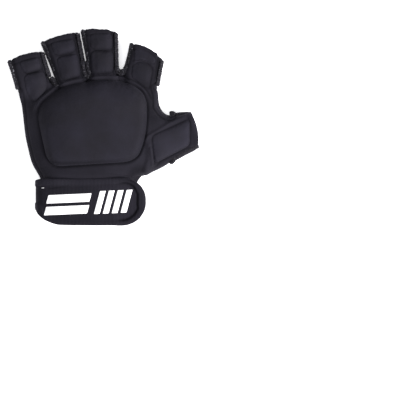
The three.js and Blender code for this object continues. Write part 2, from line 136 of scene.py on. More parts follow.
def cloth_colour(tree, low, high, place, patch_mm, crease_depth):
    """Slow patches between two shades of the dye, darkened where the piece carries painted shade for its
    grooves, creases and shaded slopes.
    """
    patches = add_node(tree, "TexNoise", {"Vector": place, "Scale": 1000 / patch_mm, "Detail": 3.0})
    tones = add_node(tree, "MapRange", {"Value": patches, "From Min": 0.32, "From Max": 0.68})
    dye = add_node(tree, "Mix", {0: tones, 6: linear(low), 7: linear(high)}, data_type="RGBA").outputs[2]
    # painted shade from the piece's own attribute, standing in for the shade in its grooves and creases and
    # on slopes turned from the light
    crease = add_node(tree, "Attribute", attribute_name="crease").outputs["Fac"]
    shade = add_node(tree, "Math", {0: crease, 1: crease_depth}, operation="MULTIPLY")
    return add_node(tree, "Mix", {0: shade, 6: dye, 7: linear("#060608")}, data_type="RGBA").outputs[2]


def moulded_knit(name, low, high, loop_mm, bump):
    """Polyester jersey laminated to foam and pressed in a hot mould: a dull black face whose tiny
    loops scatter the light, so that it looks powdery on the slopes; painted shade darkens its grooves."""
    material, tree, place = new_material(
        name, Roughness=0.82, Sheen_Weight=0.08, Sheen_Roughness=0.45, Sheen_Tint=linear("#b9b6cc"),
        Specular_IOR_Level=0.04)
    # columns of loops that waver along the fingers, and fuzz of about a millimetre
    flat = add_node(tree, "VectorMath", {0: place, 1: (1, 1, 0)}, operation="MULTIPLY")
    wales = add_node(
        tree, "TexWave", {"Vector": flat, "Scale": math.tau * 50 / loop_mm, "Distortion": 2.5, "Detail": 1.0,
                          "Detail Scale": 3.0}, wave_type="BANDS", bands_direction="X")
    fuzz = add_node(tree, "TexNoise", {"Vector": place, "Scale": 1000 / 1.1, "Detail": 2.0})
    height = add_node(tree, "Math", {0: wales.outputs["Fac"], 1: fuzz}, operation="ADD")
    colour = cloth_colour(tree, low, high, place, patch_mm=24, crease_depth=0.75)
    return finished(material, colour, height, strength=bump, depth_mm=0.25)


def grip_print():
    """Soft synthetic grip cloth with a thin raised honeycomb of pale ink: dark violet-navy cells,
    lavender-grey lines that have partly worn off."""
    material, tree, place = new_material(
        "honeycomb_printed_grip_cloth", Roughness=0.62, Sheen_Weight=0.3, Sheen_Tint=linear("#b3aed6"),
        Specular_IOR_Level=0.35)
    cell_mm = 4.4
    size, half = (1.0, math.sqrt(3), 1.0), (0.5, math.sqrt(3) / 2, 0.5)
    uv = add_node(tree, "TexCoord").outputs["UV"]
    cells = add_node(tree, "VectorMath", {0: uv, "Scale": 1000 / cell_mm}, operation="SCALE")
    # the way to the nearest centre of each of two square grids of cells, half a cell apart
    ways, lengths = [], []
    for grid in (cells, add_node(tree, "VectorMath", {0: cells, 1: half}, operation="SUBTRACT")):
        wrapped = add_node(tree, "VectorMath", {0: grid, 1: size, 2: (0, 0, 0)}, operation="WRAP")
        centred = add_node(tree, "VectorMath", {0: wrapped, 1: half}, operation="SUBTRACT")
        ways.append(add_node(tree, "VectorMath", {0: centred, 1: (1, 1, 0)}, operation="MULTIPLY"))
        lengths.append(add_node(tree, "VectorMath", {0: ways[-1]}, operation="LENGTH").outputs["Value"])
    nearer = add_node(tree, "Math", {0: lengths[0], 1: lengths[1]}, operation="GREATER_THAN")
    chosen = add_node(tree, "Mix", {0: nearer, 4: ways[0], 5: ways[1]}, data_type="VECTOR").outputs[1]
    across = add_node(tree, "VectorMath", {0: chosen}, operation="ABSOLUTE")
    sloped, upright = (
        add_node(tree, "VectorMath", {0: across, 1: way}, operation="DOT_PRODUCT").outputs["Value"]
        for way in ((0.5, math.sqrt(3) / 2, 0), (1, 0, 0)))
    reach = add_node(tree, "Math", {0: sloped, 1: upright}, operation="MAXIMUM")
    line = add_node(tree, "MapRange", {"Value": reach, "From Min": 0.425, "From Max": 0.465})
    wear = add_node(tree, "TexNoise", {"Vector": place, "Scale": 1000 / 3.5, "Detail": 3.0})
    worn = add_node(
        tree, "MapRange", {"Value": wear, "From Min": 0.34, "From Max": 0.6, "To Min": 0.2, "To Max": 0.95})
    printed = add_node(tree, "Attribute", attribute_name="printed").outputs["Fac"]
    ink = add_node(tree, "Math", {0: line, 1: worn}, operation="MULTIPLY")
    ink = add_node(tree, "Math", {0: ink, 1: printed}, operation="MULTIPLY")
    ground = cloth_colour(tree, "#24232f", "#312f40", place, patch_mm=9, crease_depth=0.7)
    colour = add_node(tree, "Mix", {0: ink, 6: ground, 7: linear("#8f8aa6")}, data_type="RGBA").outputs[2]
    weave = add_node(tree, "TexNoise", {"Vector": place, "Scale": 1000 / 0.8, "Detail": 2.0})
    height = add_node(tree, "Math", {0: weave, 1: 0.5, 2: ink}, operation="MULTIPLY_ADD")
    return finished(material, colour, height, strength=0.6, depth_mm=0.3)


def overlock_thread():
    """Textured polyester overlock thread, grey with bleached lengths: it shows as pale flecks."""
    material, tree, place = new_material("textured_overlock_thread", Roughness=0.85, Specular_IOR_Level=0.15)
    flecks = add_node(tree, "TexNoise", {"Vector": place, "Scale": 1000 / 1.7, "Detail": 3.0})
    bleached = add_node(
        tree, "MapRange", {"Value": flecks, "From Min": 0.52, "From Max": 0.6, "To Min": 0.07})
    pale = add_node(tree, "Attribute", attribute_name="pale").outputs["Fac"]
    pale = add_node(tree, "Math", {0: bleached, 1: pale}, operation="MULTIPLY")
    colour = add_node(
        tree, "Mix", {0: pale, 6: linear("#121115"), 7: linear("#8d8c94")}, data_type="RGBA").outputs[2]
    twist = add_node(tree, "TexNoise", {"Vector": place, "Scale": 1000 / 0.5, "Detail": 1.0})
    return finished(material, colour, twist, strength=0.5, depth_mm=0.2)


def plain_finish(name, low, high, roughness, grain_mm, bump):
    """Two near shades with a fine uneven surface, for the small trims."""
    material, tree, place = new_material(name, Roughness=roughness)
    grain = add_node(tree, "TexNoise", {"Vector": place, "Scale": 1000 / grain_mm, "Detail": 2.0})
    tones = add_node(tree, "Mix", {0: grain, 6: linear(low), 7: linear(high)}, data_type="RGBA").outputs[2]
    return finished(material, tones, grain, strength=bump, depth_mm=0.2)


panel_knit = moulded_knit("pressed_jersey_black", "#1b1a1f", "#201f25", loop_mm=0.7, bump=0.4)
pad_knit = moulded_knit("pressed_jersey_over_foam", "#232227", "#28272f", loop_mm=0.7, bump=0.4)
lining_knit = moulded_knit("brushed_tricot_lining", "#201e28", "#282633", loop_mm=1.2, bump=0.35)
binding_knit = moulded_knit("folded_binding_knit", "#27262b", "#302f35", loop_mm=0.7, bump=0.8)
band_knit = moulded_knit("strap_loop_velour", "#1c1b21", "#212026", loop_mm=1.2, bump=0.8)
grip_cloth = grip_print()
seam_thread = overlock_thread()
# bonded thread is smooth enough to shine a little along its turns
dark_thread = plain_finish(
    "bonded_nylon_thread_black", "#1b1b1e", "#303034", roughness=0.55, grain_mm=0.5, bump=0.4)
# silicone ink is screened on thick, and its satin face swells slightly
raised_print = plain_finish(
    "raised_silicone_print_white", "#f4f4f4", "#ffffff", roughness=0.5, grain_mm=1.5, bump=0.15)
# a moulded tape is dull, since its hooks swallow the light
hook_nylon = plain_finish(
    "moulded_nylon_hooks_black", "#121215", "#1c1c20", roughness=0.85, grain_mm=1.2, bump=0.5)
FLOOR_GLOW = 0.45
# the opal acrylic top of a light table, which glows enough to take the grey out of the shadows
floor_finish = plain_finish(
    "opal_acrylic_light_table", "#f4f4f4", "#fbfbfb", roughness=0.9, grain_mm=60, bump=0.05)
glow = floor_finish.node_tree.nodes["Principled BSDF"].inputs
glow["Emission Color"].default_value, glow["Emission Strength"].default_value = (1, 1, 1, 1), FLOOR_GLOW

bpy.ops.object.select_all(action="DESELECT")
bpy.ops.mesh.primitive_plane_add(size=6, location=(0, 0, 0))
floor = bpy.context.object
floor.name = "studio_floor"
floor.data.materials.append(floor_finish)


# ---------------------------------------------------------------- tools for cloth

def lerp(a, b, share):
    return a + (b - a) * share


def smooth_step(value, low, high):
    share = np.clip((value - low) / (high - low), 0, 1)
    return share * share * (3 - 2 * share)


def bump_at(value, centre, width):
    """1 at the centre, falling to nothing over a few widths."""
    return np.exp(-(((value - centre) / width) ** 2))


def smooth_through(knots, values, at):
    """A smooth curve through a table's rows that never swings past them."""
    knots, values, at = np.asarray(knots, float), np.asarray(values, float), np.asarray(at, float)
    flat = values.ndim == 1
    values = values.reshape(len(knots), -1)
    steps = np.diff(knots)
    slopes = np.diff(values, axis=0) / steps[:, None]
    before, after = slopes[:-1], slopes[1:]
    agree = before * after > 0
    tangents = np.vstack([slopes[:1], np.zeros_like(before), slopes[-1:]])
    tangents[1:-1] = np.where(agree, 2 * before * after / np.where(agree, before + after, 1), 0)
    i = np.clip(np.searchsorted(knots, at, side="right") - 1, 0, len(knots) - 2)
    u = ((at - knots[i]) / steps[i])[:, None]
    step = steps[i][:, None]
    curve = (
        (2 * u**3 - 3 * u**2 + 1) * values[i]
        + (u**3 - 2 * u**2 + u) * step * tangents[i]
        + (3 * u**2 - 2 * u**3) * values[i + 1]
        + (u**3 - u**2) * step * tangents[i + 1]
    )
    return curve[:, 0] if flat else curve


def lengths_along(points):
    steps = np.linalg.norm(np.diff(points, axis=0), axis=1)
    return np.concatenate([[0], np.cumsum(steps)])


def at_lengths(lengths, along, points):
    """What a line's points hold at given lengths along it."""
    return np.column_stack([np.interp(lengths, along, column) for column in points.T])


def evenly_spaced(points, count):
    """The same line with its points evenly spaced."""
    along = lengths_along(points)
    return at_lengths(np.linspace(0, along[-1], count), along, points)


def raised(places, heights):
    """Places on the plan with their heights."""
    return np.column_stack([places, np.broadcast_to(heights, len(places))])


def unit(ways):
    return ways / np.linalg.norm(ways, axis=1)[:, None]


def wander(points, size_mm, seed):
    """Slow uneven waves from -1 to 1, the same on every run."""
    shift = Vector((seed * 17.3, seed * 5.1, seed * 9.7))
    return np.array([noise.noise(Vector(point) / size_mm + shift) for point in points])


def wander_along(lengths, size_mm, seed):
    return wander(np.outer(lengths, (1, 0, 0)), size_mm, seed)


def rounded_outline(corners, radius, spacing):
    """A closed outline through straight sides with rounded corners, anticlockwise."""
    corners = [np.array(corner, float) for corner in corners]
    line = []
    for i, corner in enumerate(corners):
        ends = []
        for other in (corners[i - 1], corners[(i + 1) % len(corners)]):
            gap = np.linalg.norm(other - corner)
            ends.append(corner + (other - corner) / gap * min(radius, 0.45 * gap))
        for share in np.linspace(0, 1, 13):
            line.append(lerp(lerp(ends[0], corner, share), lerp(corner, ends[1], share), share))
    line = np.array(line + line[:1])
    count = int(lengths_along(line)[-1] / spacing)
    line = evenly_spaced(line, count + 1)[:-1]
    x, y = line.T
    clockwise = np.sum(x * np.roll(y, -1) - np.roll(x, -1) * y) < 0
    return line[::-1] if clockwise else line


def gap_to_line(places, line):
    """Millimetres on the plan from each place to an open line."""
    best = np.full(len(places), 1e9)
    for start, end in zip(line[:-1], line[1:]):
        side = end - start
        share = np.clip((places - start) @ side / max(side @ side, 1e-12), 0, 1)
        best = np.minimum(best, np.linalg.norm(places - start - share[:, None] * side, axis=1))
    return best


def gap_to_any(places, *lines, step=1):
    """Millimetres to the nearest of some lines, of whose points every step-th is used."""
    return np.min([gap_to_line(places, np.array(line)[::step]) for line in lines], axis=0)


def inside_by(places, outline):
    """How far inside an outline each place lies, less than 0 outside it."""
    inside = np.zeros(len(places), bool)
    for start, end in zip(outline, np.roll(outline, -1, axis=0)):
        crosses = (start[1] > places[:, 1]) != (end[1] > places[:, 1])
        rise = end[1] - start[1] or 1e-12
        inside ^= crosses & (places[:, 0] < start[0] + (places[:, 1] - start[1]) * (end[0] - start[0]) / rise)
    gap = gap_to_line(places, np.vstack([outline, outline[:1]]))
    return np.where(inside, gap, -gap)


def sides_of(faces):
    """Every face's sides as pairs of points."""
    corners = faces.shape[1]
    return np.vstack([faces[:, [k, (k + 1) % corners]] for k in range(corners)])


def free_sides(faces):
    """The sides that only one face has, each with its face on the left."""
    known = {tuple(side) for side in sides_of(faces).tolist()}
    return np.array(sorted(side for side in known if side[::-1] not in known))


class Cloth:
    """The middle surface of a cloth or laminate, sewn from grids of points."""

    def __init__(self, *grids):
        points = np.vstack([grid.reshape(-1, 3) for grid in grids])
        _, first, welded = np.unique(np.round(points, 3), axis=0, return_index=True, return_inverse=True)
        self.points, self.welded = points[first], welded.reshape(-1)
        quads, start = [], 0
        for grid in grids:
            rows, columns = grid.shape[:2]
            ids = self.welded[start:start + rows * columns].reshape(rows, columns)
            start += rows * columns
            corners = [ids[:-1, :-1], ids[:-1, 1:], ids[1:, 1:], ids[1:, :-1]]
            quads.append(np.stack(corners, axis=-1).reshape(-1, 4))
        quads = np.vstack(quads)
        twice = [quads[:, a] == quads[:, b] for a in range(4) for b in range(a)]
        self.quads = quads[~np.any(twice, axis=0)]
        self.normals = self.vertex_normals()

    def vertex_normals(self):
        a, b, c, d = (self.points[self.quads[:, k]] for k in range(4))
        sums = np.zeros_like(self.points)
        for k in range(4):
            np.add.at(sums, self.quads[:, k], np.cross(c - a, d - b))
        return sums / np.maximum(np.linalg.norm(sums, axis=1), 1e-9)[:, None]

    def at_points(self, values):
        """Values given on the first grid, at the cloth's own points."""
        found = np.zeros((len(self.points), *values.shape[2:]))
        found[self.welded] = values.reshape(-1, *values.shape[2:])
        return found

    def relax(self, weights, times):
        """Eases the surface towards the mean of its neighbours, and a free edge along itself."""
        border = free_sides(self.quads)
        on_border = np.isin(np.arange(len(self.points)), border)
        edges = np.unique(np.sort(sides_of(self.quads), axis=1), axis=0)
        mixed = edges[on_border[edges].sum(axis=1) == 1]
        givers, receivers = np.where(on_border[mixed[:, :1]], mixed, mixed[:, ::-1]).T
        first, second = np.vstack([edges[~on_border[edges].any(axis=1)], border]).T
        count = np.bincount(np.concatenate([first, second, receivers]), minlength=len(self.points))
        for _ in range(times):
            sums = np.zeros_like(self.points)
            for takers, from_points in ((first, second), (second, first), (receivers, givers)):
                np.add.at(sums, takers, self.points[from_points])
            self.points += (sums / np.maximum(count, 1)[:, None] - self.points) * weights[:, None]
        self.normals = self.vertex_normals()

    def level(self, chosen, weights, reach, times):
        """Draws the chosen points' heights towards their neighbours' on the plan."""
        spots = self.points[chosen, :2].astype(np.float32)
        near = np.exp(-(((spots[:, None] - spots[None]) ** 2).sum(axis=2)) / reach**2)
        near = near / near.sum(axis=1)[None]
        near /= near.sum(axis=1)[:, None]
        for _ in range(times):
            heights = self.points[chosen, 2]
            self.points[chosen, 2] = lerp(heights, near @ heights, weights)
        self.normals = self.vertex_normals()

    def wall(self, over, under, rim=5, kept=None):
        """The closed wall from over above the middle surface to under below it, with round rims.

        Gives its points, its faces, the middle surface's point that each came from, and how far
        round each lies, from 0 on the outer face to 1 on the inner.
        """
        used, quads = np.unique(self.quads if kept is None else self.quads[kept], return_inverse=True)
        quads = quads.reshape(-1, 4)
        points, normals = self.points[used], self.normals[used]
        over, under = (np.broadcast_to(side, len(self.points))[used] for side in (over, under))
        border = free_sides(quads)
        outward = np.zeros_like(points)
        for a, b in border:
            outward[[a, b]] += np.cross(points[b] - points[a], normals[a] + normals[b])
        rim_ids = np.unique(border)
        outward = outward[rim_ids] / np.maximum(np.linalg.norm(outward[rim_ids], axis=1)[:, None], 1e-9)
        middle = (points + normals * ((over - under) / 2)[:, None])[rim_ids]
        radius = ((over + under) / 2)[rim_ids, None]
        count = len(points)
        layers = [points + normals * over[:, None], points - normals * under[:, None]]
        sources, turns = [used, used], [np.zeros(count), np.ones(count)]
        for k in range(1, rim + 1):
            angle = math.pi * k / (rim + 1)
            layers.append(middle + radius * (normals[rim_ids] * math.cos(angle) + outward * math.sin(angle)))
            sources.append(used[rim_ids])
            turns.append(np.full(len(rim_ids), k / (rim + 1)))
        # the rim's faces join ring to ring, from the outer face's border to the inner face's
        own = np.searchsorted(rim_ids, border)
        rings = [border, *(2 * count + k * len(rim_ids) + own for k in range(rim)), count + border]
        faces = [quads, count + quads[:, ::-1]]
        faces += [np.hstack([upper[:, ::-1], lower]) for upper, lower in zip(rings, rings[1:])]
        return np.vstack(layers), np.vstack(faces), np.concatenate(sources), np.concatenate(turns)


def make_piece(name, points, faces, material, slot, replaced=(), uv=None, **attributes):
    """A smooth mesh object in the frame from points on the plan, riding on the glove."""
    mesh = bpy.data.meshes.new(name)
    mesh.from_pydata(((np.asarray(points) + PLAN_ZERO) * MM).tolist(), [], [list(face) for face in faces])
    for attribute, values in attributes.items():
        layer = mesh.attributes.new(attribute, "FLOAT", "POINT")
        layer.data.foreach_set("value", np.asarray(values, np.float32))
    if uv is not None:
        corners = np.zeros(len(mesh.loops), np.int32)
        mesh.loops.foreach_get("vertex_index", corners)
        layer = mesh.uv_layers.new(name="cut")
        layer.data.foreach_set("uv", (uv[corners] * MM).astype(np.float32).ravel())
    mesh.polygons.foreach_set("use_smooth", [True] * len(mesh.polygons))
    mesh.materials.append(material)
    mesh.update()
    piece = new_object(name, mesh)
    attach(piece, "root")
    if replaced:
        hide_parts(*replaced)
    return piece


def skin_over(cloth, thick):
    """A cloth's outer face, a thickness out from its middle surface."""
    outer = cloth.points + cloth.normals * thick[:, None]
    return BVHTree.FromPolygons(outer.tolist(), cloth.quads.tolist())


def heights_on(skin, places):
    """A skin's height at places on the plan, nan beside it."""
    hits = [skin.ray_cast(Vector((px, py, ABOVE_ALL)), Vector((0, 0, -1)))[0] for px, py in places]
    return np.array([hit.z if hit else np.nan for hit in hits])


def slab(places, triangles, top, bottom):
    """The closed solid between two heights over a flat mesh of triangles."""
    count = len(places)
    faces = triangles.tolist() + (count + triangles[:, ::-1]).tolist()
    faces += [[b, a, count + a, count + b] for a, b in free_sides(triangles).tolist()]
    return np.vstack([raised(places, top), raised(places, bottom)]), faces


def joined(parts):
    """Many pieces' points and faces as one piece's."""
    points, faces, start = [], [], 0
    for part_points, part_faces in parts:
        points.append(part_points)
        faces.extend([[start + i for i in face] for face in part_faces])
        start += len(part_points)
    return np.vstack(points), faces


def taken(made):
    """A modelled object's points and faces, with the object removed."""
    points = np.array([list(vertex.co) for vertex in made.data.vertices])
    faces = [list(face.vertices) for face in made.data.polygons]
    bpy.data.objects.remove(made)
    return points, faces


# ---------------------------------------------------------------- the plan

PANEL_WALL = 3.0
FINGER_WALL = 2.4
SLEEVE_WALL = 1.4
STRAP_WALL = 2.8
HOOK_WALL = 1.2
FLANGE_Z = 5.5  # the sewn edge under a finger's side
SEAM_Z = 7.6  # the lower edge of a finger's back
FINGER_TOP_Z = 14.0
THUMB_TOP_Z = 14.5
RIM = 1.25  # how far inside the outline a round rim starts
ABOVE_ALL = 60.0  # where the rays that look for a height start


class Finger:
    def __init__(self, name, root, tip, halves, slants, flange, bow, near_pad, far_pad):
        self.name, self.halves, self.slants, self.flange, self.bow = name, halves, slants, flange, bow
        self.pads = {"near": near_pad, "far": far_pad}
        self.root = np.array(root)
        reach = np.array(tip) - self.root
        self.length = float(np.linalg.norm(reach))
        self.along = reach / self.length
        self.side = np.array([self.along[1], -self.along[0]])

    def half(self, distance):
        return lerp(*self.halves, np.asarray(distance) / self.length)

    def place(self, distance, lateral):
        """The plan's point a distance along the finger and a distance to its side."""
        distance, lateral = np.broadcast_arrays(np.asarray(distance, float), np.asarray(lateral, float))
        share = np.clip(distance / self.length, 0, 1)
        reach = distance + np.tan(np.radians(lerp(*self.slants, share))) * lateral
        reach = reach + self.bow * share**3 * np.clip(1 - (lateral / self.half(distance)) ** 2, 0, 1)
        return self.root + reach[..., None] * self.along + lateral[..., None] * self.side


FINGERS = [
    Finger("little", (-61.7, 36.5), (-69.4, 63.0), (13.6, 12.7), (5.5, 0.0), 3.4, 1.0,
           [(-61.5, 20.5), (-51.2, 30.5), (-49.8, 38), (-53.2, 49.4), (-70, 45.2), (-68, 31)],
           [(-70.4, 46.4), (-53.6, 50.6), (-57, 61.2), (-74.2, 57)]),
    Finger("ring", (-27.3, 38.6), (-39.0, 79.8), (10.7, 13.8), (0.0, 0.0), 3.4, 0.5,
           [(-37, 40.6), (-20.1, 44.5), (-23.3, 64.5), (-41.4, 60.6)],
           [(-43.2, 62.0), (-24.6, 66.2), (-26.4, 77.1), (-46.8, 74)]),
    Finger("middle", (-0.5, 46.4), (-4.3, 85.2), (10.4, 12.4), (0.0, -8.0), 3.2, 0.9,
           [(-10.8, 47), (8.1, 47.6), (8.1, 66), (-11, 66.8)],
           [(-11.4, 67.8), (7.5, 67.2), (6.9, 82.4), (-12, 81.8)]),
    Finger("index", (32.2, 41.4), (38.1, 67.2), (14.1, 12.4), (-14.0, -14.0), 3.4, 2.5,
           [(24.3, 43.0), (39.3, 32.0), (43.4, 52), (35, 57), (26, 56.2)],
           [(26.6, 57.5), (35.2, 58.8), (43.9, 53.8), (46, 60.8), (36, 67.3), (27.4, 69.6)]),
]
FINGER_COLUMNS = 33
WEB_COLUMNS = 5
THUMB_COLUMNS = 93
KNUCKLE_ROWS = 22
ROW_STEP = 0.9
PAD_CORNER = 4.5

# Rows of the hand's back from the wrist to the finger roots: the left end, the right end, the crown's
# height, the heights of both ends, how much of the finger roots' bow it follows, how far it takes on
# their shape, and how far its columns gather to the fingers.
HAND_ROWS = [
    (-54, -79.5, 27, -81, 16.4, 8, 4.5, 0, 0, 0),
    (-54.5, -70, 27, -70, 16.4, 8, 4.5, 0, 0, 0),
    (-54.5, -57, 27, -57, 16.4, 8, 4.5, 0, 0, 0),
    (-55, -45.5, 27.6, -47.5, 16.6, 7, 4.2, 0, 0, 0),
    (-58.5, -38.8, 31.8, -42, 17.6, 4.4, 3.2, 0.05, 0, 0),
    (-60.6, -35.4, 32.54, -39.03, 18.2, 3.2, 3.2, 0.08, 0, 0),
    (-63.3, -29.5, 34.15, -32.48, 19, 2.4, 3.2, 0.12, 0, 0),
    (-66, -19, 36.8, -21.77, 20, 2.2, 3.2, 0.2, 0, 0),
    (-68.3, -8, 39.44, -11.06, 20.5, 2.2, 3.2, 0.32, 0, 0),
    (-69.8, 2.5, 42.09, -0.35, 20.2, 2.2, 3.2, 0.46, 0, 0),
    (-70.8, 12, 44.3, 8.58, 19.2, 2.4, 3.2, 0.6, 0, 0.02),
    (-71.7, 19, 45.77, 14.53, 18.2, 2.8, 3.2, 0.72, 0.02, 0.1),
    (-72.3, 22, 46.5, 17.5, 17.4, 3.4, 3.2, 0.8, 0.1, 0.2),
    (-73.2, 26, 46.6, 27, 16, 5, 4.8, 0.9, 0.45, 0.5),
]
THUMB_FIRST_ROW = 4
THUMB_SHARES = [0, 0.05, 0.16, 0.34, 0.52, 0.7, 0.85, 0.95, 1]
ARCH_POWER = 2.4
EDGE_ROUND = 0.6

# The thumb's back from its root to its tip: the wrist side, the finger side, and the edge's height,
# the top's height and how far the line between them bulges
THUMB_STATIONS = [
    (31.8, -42, 46.5, 17.5, 3.2, 16.5, 0),
    (42.5, -37.8, 51.3, 11.5, 3.4, 15.6, 0),
    (52, -33.6, 56.5, 9.4, 4.9, 15, 0),
    (60.3, -28, 61, 9.4, SEAM_Z, THUMB_TOP_Z, 0.3),
    (70.4, -22.2, 68.8, 10.2, SEAM_Z, THUMB_TOP_Z, 1.2),
    (83.0, -15.6, 77.2, 10.6, SEAM_Z, THUMB_TOP_Z, 2.2),
]
THUMB_LOOP_START = 3
THUMB_FLANGE = 3.2
SLEEVE_START = 3.4

HAND_PAD = rounded_outline(
    [(-59.8, 15.8), (-41, 33), (-27, 38.2), (3, 42.3), (22.4, 38.7), (36.9, 28.6), (38.1, 8), (36.2, -11),
     (28.6, -30.4), (-48.6, -35.2)], radius=13, spacing=1.1)
THUMB_PAD = rounded_outline([(41.8, -8), (75.4, 7), (75.8, -16), (44.4, -32.4)], PAD_CORNER, spacing=0.8)
FINGER_PADS = {
    f"{finger.name}_{part}": rounded_outline(finger.pads[part], PAD_CORNER, spacing=0.7)
    for finger in FINGERS for part in ("near", "far")
}


# ---------------------------------------------------------------- the back of the glove

def finger_back(finger, distances):
    columns = np.sin(np.linspace(-1, 1, FINGER_COLUMNS) * math.pi / 2)
    distance, u = np.meshgrid(distances, columns, indexing="ij")
    plan = finger.place(distance, u * finger.half(distance))
    # the cut edge of the tip is uneven
    near_tip = smooth_step(distance, finger.length - 4, finger.length - RIM)
    spots = raised(plan.reshape(-1, 2), 0.0)
    uneven = wander(spots, 2.6, 61) + 0.5 * wander(spots, 1.3, 62)
    plan = plan + (0.55 * near_tip * uneven.reshape(u.shape))[..., None] * finger.along
    crown = np.sqrt(1 - np.abs(u) ** 10)
    return np.dstack([plan[..., 0], plan[..., 1], lerp(SEAM_Z, FINGER_TOP_Z, crown)])


def thumb_crown(u):
    return (1 - np.minimum(np.abs(u), 1) ** 5) ** 0.55


def root_row():
    """The four fingers' first rows with the webs between them."""
    parts = []
    for i, finger in enumerate(FINGERS):
        row = finger_back(finger, [0.0])[0]
        if i:
            shares = np.linspace(0, 1, WEB_COLUMNS + 2)[1:-1, None]
            parts.append(lerp(parts[-1][-1], row[0], shares))
        parts.append(row)
    return np.vstack(parts)


def hand_and_thumb_grids():
    """The back of the hand and the back of the thumb, and which of the hand's rows the thumb joins."""
    root = root_row()
    first, last = root[0], root[-1]
    root_shares = (root[:, 0] - first[0]) / (last[0] - first[0])
    root_bow = root[:, 1] - lerp(first[1], last[1], root_shares)
    root_ends = (*first[:2], *last[:2], 14, first[2], last[2], 1, 1, 1)
    table = np.array([*HAND_ROWS, root_ends], float)
    knots = (table[:, 1] + table[:, 3]) / 2
    thumb_knots = knots[THUMB_FIRST_ROW:THUMB_FIRST_ROW + len(THUMB_SHARES)]
    fine = np.linspace(thumb_knots[0], thumb_knots[-1], 2000)
    fine_shares = smooth_through(thumb_knots, THUMB_SHARES, fine)
    waves = (1 + np.sin(np.linspace(-1, 1, THUMB_COLUMNS) * math.pi / 2)) / 2
    before = np.arange(knots[0] + RIM, thumb_knots[0] - 0.3, ROW_STEP)
    after = np.linspace(thumb_knots[-1], knots[-1], KNUCKLE_ROWS)[1:]
    at = np.concatenate([before, np.interp(waves, fine_shares, fine), after])
    on_thumb = slice(len(before), len(before) + len(waves))
    rows = smooth_through(knots, table, at)
    left_x, left_y, right_x, right_y, crown, left_z, right_z, bow, knuckle, gather = rows.T[:, :, None]
    low, high = np.array(THUMB_STATIONS[0][0:2]), np.array(THUMB_STATIONS[0][2:4])
    right_x[on_thumb, 0] = lerp(low[0], high[0], waves)
    right_y[on_thumb, 0] = lerp(low[1], high[1], waves)
    thumb_rise = np.zeros((len(at), 1))
    thumb_rise[on_thumb, 0] = thumb_crown(2 * waves - 1)
    right_z[on_thumb, 0] = lerp(THUMB_STATIONS[0][4], THUMB_STATIONS[0][5], thumb_rise[on_thumb, 0])
    even = np.linspace(-1, 1, len(root))
    even = (1 + lerp(even, np.sin(even * math.pi / 2), 0.6)) / 2
    share = lerp(even[None, :], root_shares[None, :], gather)
    u = 2 * share - 1
    round_to = np.where(u < 0, EDGE_ROUND, lerp(EDGE_ROUND, 1, thumb_rise))
    rise = np.clip(1 - np.abs(u) ** ARCH_POWER, 0, 1) ** round_to
    arched = lerp(np.where(u < 0, left_z, right_z), crown, rise)
    spread = 0.03 * rise * (1 - gather)
    knuckles = sum(np.interp(share + side * spread, root_shares, root[:, 2]) for side in (-1, 0, 1)) / 3
    bowed = np.interp(share, root_shares, root_bow)
    hand = np.dstack([
        lerp(left_x, right_x, share),
        lerp(left_y, right_y, share) + bow * bowed,
        lerp(arched, knuckles, knuckle),
    ])
    stations = np.array(THUMB_STATIONS, float)
    middles = (stations[:, 0:2] + stations[:, 2:4]) / 2
    reach = lengths_along(middles)
    steps = np.linspace(0, reach[-1] - RIM, int(reach[-1] / ROW_STEP))
    low_x, low_y, high_x, high_y, edge_z, top_z, bulge = smooth_through(reach, stations, steps).T[:, None, :]
    across = waves[:, None]
    side = 2 * across - 1
    thumb = np.dstack([
        lerp(low_x, high_x, across) + bulge * (1 - side**2),
        lerp(low_y, high_y, across),
        lerp(edge_z, top_z, thumb_crown(side)),
    ])
    thumb[:, 0] = hand[on_thumb, -1]
    return hand, thumb, on_thumb


hand_grid, thumb_grid, thumb_rows = hand_and_thumb_grids()
finger_grids = [
    finger_back(finger, np.linspace(0, finger.length - RIM, int(finger.length / ROW_STEP)))
    for finger in FINGERS
]
for k, grid in enumerate(finger_grids):
    start = k * (FINGER_COLUMNS + WEB_COLUMNS)
    grid[0] = hand_grid[-1, start:start + FINGER_COLUMNS]
left_edge, right_edge = hand_grid[:, 0, :2], hand_grid[:, -1, :2]
heel_edge, web_edge = right_edge[:thumb_rows.start], right_edge[thumb_rows.stop - 1:]
thumb_low, thumb_high, thumb_tip = thumb_grid[0, :, :2], thumb_grid[-1, :, :2], thumb_grid[:, -1, :2]

back = Cloth(hand_grid, thumb_grid, *finger_grids)
x, y = back.points.T[:2]  # these follow the points as they are eased
# the tables' straight runs meet in faint ridges at the knuckles and the thumb's root
ridged = 0.5 * smooth_step(y, -60, -40) * (1 - smooth_step(y, 30, 40)) * (1 - smooth_step(x, 62, 70))
from_border = gap_to_any(back.points[:, :2], left_edge, thumb_low, thumb_high, step=4)
back.relax(ridged * smooth_step(from_border, 0, 3), times=14)
thumb_web = np.exp(-(((x - 47) / 9) ** 2 + ((y - 17) / 10) ** 2))
back.relax(0.5 * thumb_web, times=60)
# the thumb's upper side runs out into the panel in a step, which is levelled
around_step = np.flatnonzero((x > 10) & (x < 58) & (y > 2) & (y < 38))
step_places = back.points[around_step, :2]
step_x, step_y = step_places.T
level_by = (smooth_step(gap_to_any(step_places, web_edge, thumb_high), 0.5, 5)
            * smooth_step(step_x, 12, 24) * (1 - smooth_step(step_x, 48, 56))
            * smooth_step(step_y, 4, 12) * (1 - smooth_step(step_y, 28, 36)))
back.level(around_step, level_by, reach=2.6, times=6)
plan = back.points[:, :2].copy()


def off(*lines, step=1):
    """How far each of the back's points is from the nearest of some lines."""
    return gap_to_any(plan, *lines, step=step)


def outside(gap):
    return np.clip(-gap, 0, None)


PROBE = 0.4  # how far to each side an outline's slope is felt


